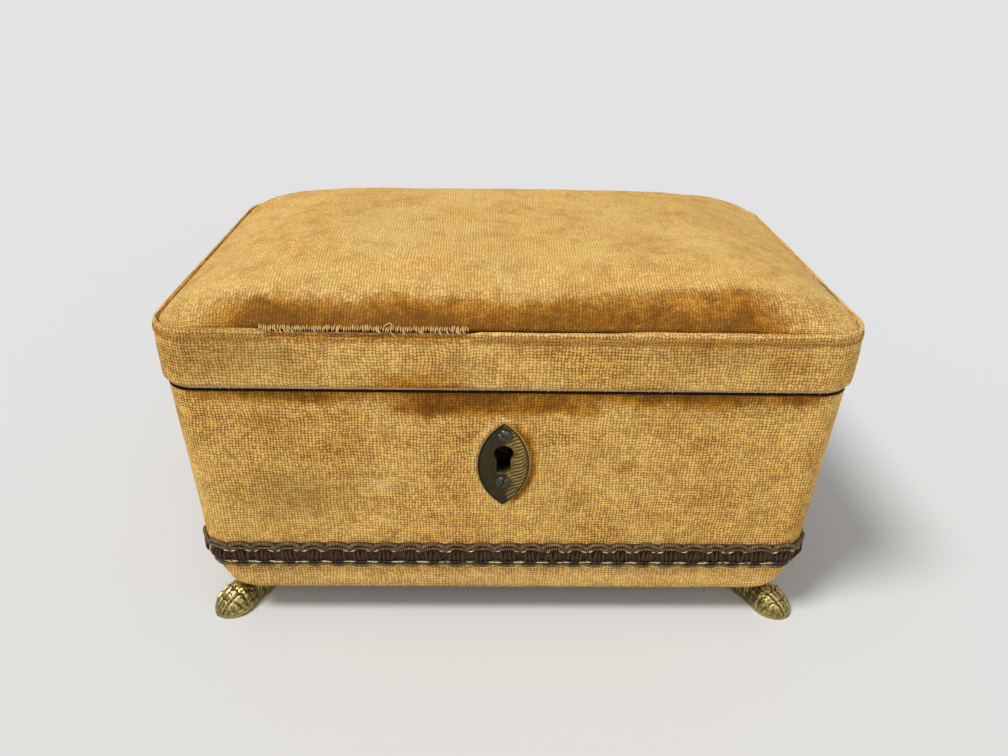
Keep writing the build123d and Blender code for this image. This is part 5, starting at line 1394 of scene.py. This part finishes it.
def build_linings():
    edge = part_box("lid_lining")[1] / MM
    points, faces = padded_form(edge.x, edge.y, 3.0, -2.6, 5.8, 14.0)
    points = [(x, y, 107.2 - z) for x, y, z in points]
    faces = [face[::-1] for face in faces]
    mesh = outward(from_points("lid_lining_silk", points, faces))
    mesh = puff("lid_lining_silk", mesh, 3.6, 3.0, 1.0, 0, still=lambda p: p[2] > 106.3)
    mesh = smooth_out("lid_lining_silk", mesh, 1, 2)
    fill_outline(mesh, 0, edge.x - 0.2, edge.y - 0.2)
    tufts = [(x + (10 if y == 0 else -10), y) for x in (-60, -20, 20, 60) for y in (-26, 0, 26)]
    for vertex in mesh.vertices:
        p = vertex.co / MM
        fold = max(exp(-(hypot(p[0] - x, p[1] - y) / 5.5) ** 2) for x, y in tufts)
        if p[2] < 106.6:
            vertex.co.z += (2.0 * fold + 0.4 * cloud(p, 11, 4)) * MM
            vertex.co.z = max(vertex.co.z, 102.4 * MM)
        vertex.co.z = min(vertex.co.z, 107.25 * MM)
    lay_cloth(mesh, lambda p, n: (p[0], p[1]))
    piece = settle("lid_lining_silk", mesh, "lid", SILK)
    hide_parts("lid_lining")
    places = [((x, y, 105.3), (0, 0, -1), (1, 0, 0)) for x, y in tufts]
    scatter("lining_buttons", places, slotted_head(2.4, 1.3, -1.0, 0.0), "lid", SILK_BUTTON)

    low_box, high_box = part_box("floor_pad")
    middle_x = (low_box.x + high_box.x) / 2 / MM
    half_long = (high_box.x - low_box.x) / 2 / MM
    points, faces = padded_form(half_long, high_box.y / MM, 2.0, 18.3, 7.8, 14.0)
    points = [(x + middle_x, y, z) for x, y, z in points]
    mesh = outward(from_points("well_floor_cushion", points, faces))
    mesh = puff("well_floor_cushion", mesh, 3.6, 3.0, 0.8, 18.3)
    mesh = smooth_out("well_floor_cushion", mesh, 1, 2)
    fill_outline(mesh, middle_x, half_long - 0.2, high_box.y / MM - 0.2)
    for vertex in mesh.vertices:
        p = vertex.co / MM
        channel = (exp(-(((p[0] - middle_x + 18.5) % 37 - 18.5) / 1.4) ** 2)
                   + exp(-(((p[1] + 18) % 36 - 18) / 1.4) ** 2))
        if p[2] > 22.5:
            vertex.co.z -= 1.1 * min(channel, 1.0) * MM
            vertex.co.z = min(vertex.co.z, 26.4 * MM)
        vertex.co.z = max(vertex.co.z, 21.52 * MM)
        if p[0] < middle_x:
            reach = ROLL_CENTRE_X + sqrt(max(10.5 ** 2 - (32 - vertex.co.z / MM) ** 2, 0)) - 0.5
            vertex.co.x = (middle_x + (p[0] - middle_x) * (middle_x + reach) / half_long) * MM
    lay_cloth(mesh, lambda p, n: (p[0], p[1]))
    piece = settle("well_floor_cushion", mesh, "case", SILK)
    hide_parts("floor_pad")


def build_well_silk():
    """Pleated silk on the well's four sides, drawn from the lining's own corners."""
    rows_levels = [88.95 - 1.4 * n for n in range(48)]
    rows = []

    def well_left(level):
        low, radius = 21.5, 10.5
        wall = -(CASE_HALF_LENGTH - CASE_LEAN * (CASE_TOP - level) / 79.0) + 9.5
        if level < low + radius:
            return -(ROLL_CENTRE_X + sqrt(max(radius ** 2 - (low + radius - level) ** 2, 0)))
        return wall

    for number, level in enumerate(rows_levels):
        level = max(level, 21.6)
        left = well_left(level)
        row, along = [], 0.0
        corners = [(left, -WELL_HALF_DEPTH), (WELL_RIGHT, -WELL_HALF_DEPTH),
                   (WELL_RIGHT, WELL_HALF_DEPTH), (left, WELL_HALF_DEPTH)]
        for turn in range(4):
            ax, ay = corners[turn]
            bx, by = corners[(turn + 1) % 4]
            count = 130 if turn % 2 == 0 else 120
            inward = ((0, 1), (-1, 0), (0, -1), (1, 0))[turn]
            for n in range(count):
                share = n / count
                x, y = ax + (bx - ax) * share, ay + (by - ay) * share
                fold = (0.45 * (0.5 + 0.5 * sin(2 * pi * share * round(hypot(bx - ax, by - ay) / 6.5)
                                                + 0.3 * sin(level / 7))))
                fold *= min(share, 1 - share) * 14 if min(share, 1 - share) < 0.07 else 1.0
                fold *= 0.35 if number < 2 else 1.0
                if turn == 0 and abs(x) < 16.0 and level > 52:
                    fold = 2.7
                row.append((x + inward[0] * fold, y + inward[1] * fold, level))
        rows.append(row)
    top = [(x, y, 89.0) for x, y, _ in rows[0]]
    outer = []
    for x, y, _ in rows[0]:
        outer.append((x + (1.3 if x > 20 else -1.3 if x < -85 else 0),
                      y + (1.3 if y > 50 else -1.3 if y < -50 else 0), 88.8))
    rows = [outer, top] + rows
    points, faces = skin_rows(rows)
    mesh = from_points("well_wall_silk", points, [face[::-1] for face in faces])
    lay_cloth(mesh, lambda p, n: (p[2], p[0] if abs(n[1]) > abs(n[0]) else p[1]))
    piece = settle("well_wall_silk", mesh, "case", SILK)
    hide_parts("well_lining")


def build_cylinder_pins():
    rng = random.Random(21)
    places = []
    for tooth in range(30):
        y = -9.6 + 1.35 * (tooth + 0.5)
        for beat in range(36):
            if rng.random() < 0.3:
                angle = 2 * pi * (beat + 0.15 * rng.random()) / 36
                out = (cos(angle), 0, sin(angle))
                places.append(((CYLINDER_X + CYLINDER_SURFACE * out[0], y,
                                CYLINDER_Z + CYLINDER_SURFACE * out[2]), out, (0, 1, 0)))
    corners = [(0.14 * cos(a), 0.14 * sin(a), z) for z in (0, 0.32) for a in (0, 2.09, 4.19)]
    pin = from_points("pin", corners, [(0, 1, 4, 3), (1, 2, 5, 4), (2, 0, 3, 5), (3, 4, 5)])
    scatter("cylinder_pins", places, pin, "cylinder", BRIGHT_STEEL, smooth=False)


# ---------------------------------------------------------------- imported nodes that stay
finishes = {
    CARCASS: "front_board back_board left_end right_end bottom_board lid_front_rail lid_back_rail "
             "lid_left_rail lid_right_rail lid_top_board",
    VARNISHED: "partition glass_frame glass_ledges",
    paper: "base_paper",
    window: "movement_glass",
    LOCK_STEEL: "lock_case hinge_pins click winding_arbor stop_rod",
    BRIGHT_STEEL: "comb fly_worm ratchet_wheel cylinder_arbor",
    CLEAN_BRASS: "bedplate barrel_bridge spring_barrel music_cylinder great_wheel front_bracket "
                 "back_bracket comb_base governor_wheel governor_bracket fly_vane stop_guide",
    HINGE_BRASS: "lock_bolt lock_striker hinge_case_leaves hinge_lid_leaves",
    PAW_BRASS: "winding_key",
}
for material, names in finishes.items():
    for name in names.split():
        nodes[name].data.materials.clear()
        nodes[name].data.materials.append(material)

build_case_velvet()
build_lid_velvet()
build_cushion()
build_trims()
build_braid()
build_plate()
build_screws()
build_feet()
build_linings()
build_well_silk()
build_cylinder_pins()


# ---------------------------------------------------------------- stage, light and camera
def plain(name, colour, roughness=0.6):
    material, wiring, shader, place = new_material(name)
    finish(wiring, shader, Base_Color=colour, Roughness=roughness, Specular_IOR_Level=0.0)
    return material


def stage_sheet(name, corners, material):
    mesh = bpy.data.meshes.new(name)
    mesh.from_pydata(corners, [], [(0, 1, 2, 3)])
    mesh.materials.append(material)
    loose(name, mesh)


pale_floor = plain("pale_floor", hue(218, 219, 219), 1.0)
stage_sheet("floor", [(x * FLOOR_REACH, y * FLOOR_REACH, 0) for x,
                      y in ((-1, -1), (1, -1), (1, 1), (-1, 1))], pale_floor)


def lamp(name, aim, strength, spread, colour):
    """A broad distant lamp that shines along aim, its disk spread over some degrees."""
    light = bpy.data.lights.new(name, "SUN")
    light.energy, light.angle, light.color = strength, radians(spread), colour
    holder = bpy.data.objects.new(name, light)
    holder.rotation_euler = Vector(aim).to_track_quat("-Z", "Y").to_euler()
    bpy.context.scene.collection.objects.link(holder)


lamp("key_lamp", (0.46, 0.24, -0.85), 2.3, 18, (1.0, 0.985, 0.96))
lamp("fill_lamp", (-0.25, 0.85, -0.45), 0.65, 50, (0.98, 0.99, 1.0))
world = bpy.data.worlds.new("room")
bpy.context.scene.world = world
world.use_nodes = True
world_wiring = Wiring(world.node_tree)
world.node_tree.nodes.clear()
rays = world_wiring.add("ShaderNodeLightPath").outputs
seen = world_wiring.plus(rays["Is Camera Ray"], world_wiring.plus(rays["Is Glossy Ray"],
        rays["Is Transmission Ray"]), clamp=True)
background = world_wiring.add("ShaderNodeBackground", {"Color": hue(236, 238, 240)})
world_wiring.feed(world_wiring.plus(0.44, world_wiring.times(seen, 0.47)),
                  background.inputs["Strength"])
world_wiring.feed(background.outputs[0], world_wiring.add("ShaderNodeOutputWorld").inputs[0])

# The camera: place, heading and lens that a fit to the photograph gave
yaw, pitch, roll, focal = 0.027, 0.488, -0.022, 810.28
ahead = Vector((sin(yaw) * cos(pitch), cos(yaw) * cos(pitch), -sin(pitch)))
level_right = Vector((cos(yaw), -sin(yaw), 0.0))
level_down = ahead.cross(level_right)
right = level_right * cos(roll) + level_down * sin(roll)
down = level_right * -sin(roll) + level_down * cos(roll)
camera_data = bpy.data.cameras.new("camera")
camera_data.sensor_fit, camera_data.sensor_width = "HORIZONTAL", 36.0
camera_data.lens = focal / 1008 * 36.0
camera_data.clip_start = 0.01
camera = bpy.data.objects.new("camera", camera_data)
turned = Matrix((right, -down, -ahead)).transposed().to_4x4()
camera.matrix_world = Matrix.Translation((-0.008095, -0.282088, 0.2103)) @ turned
bpy.context.scene.collection.objects.link(camera)
bpy.context.scene.camera = camera
bpy.context.scene.view_settings.view_transform = "Standard"

bpy.context.view_layer.update()
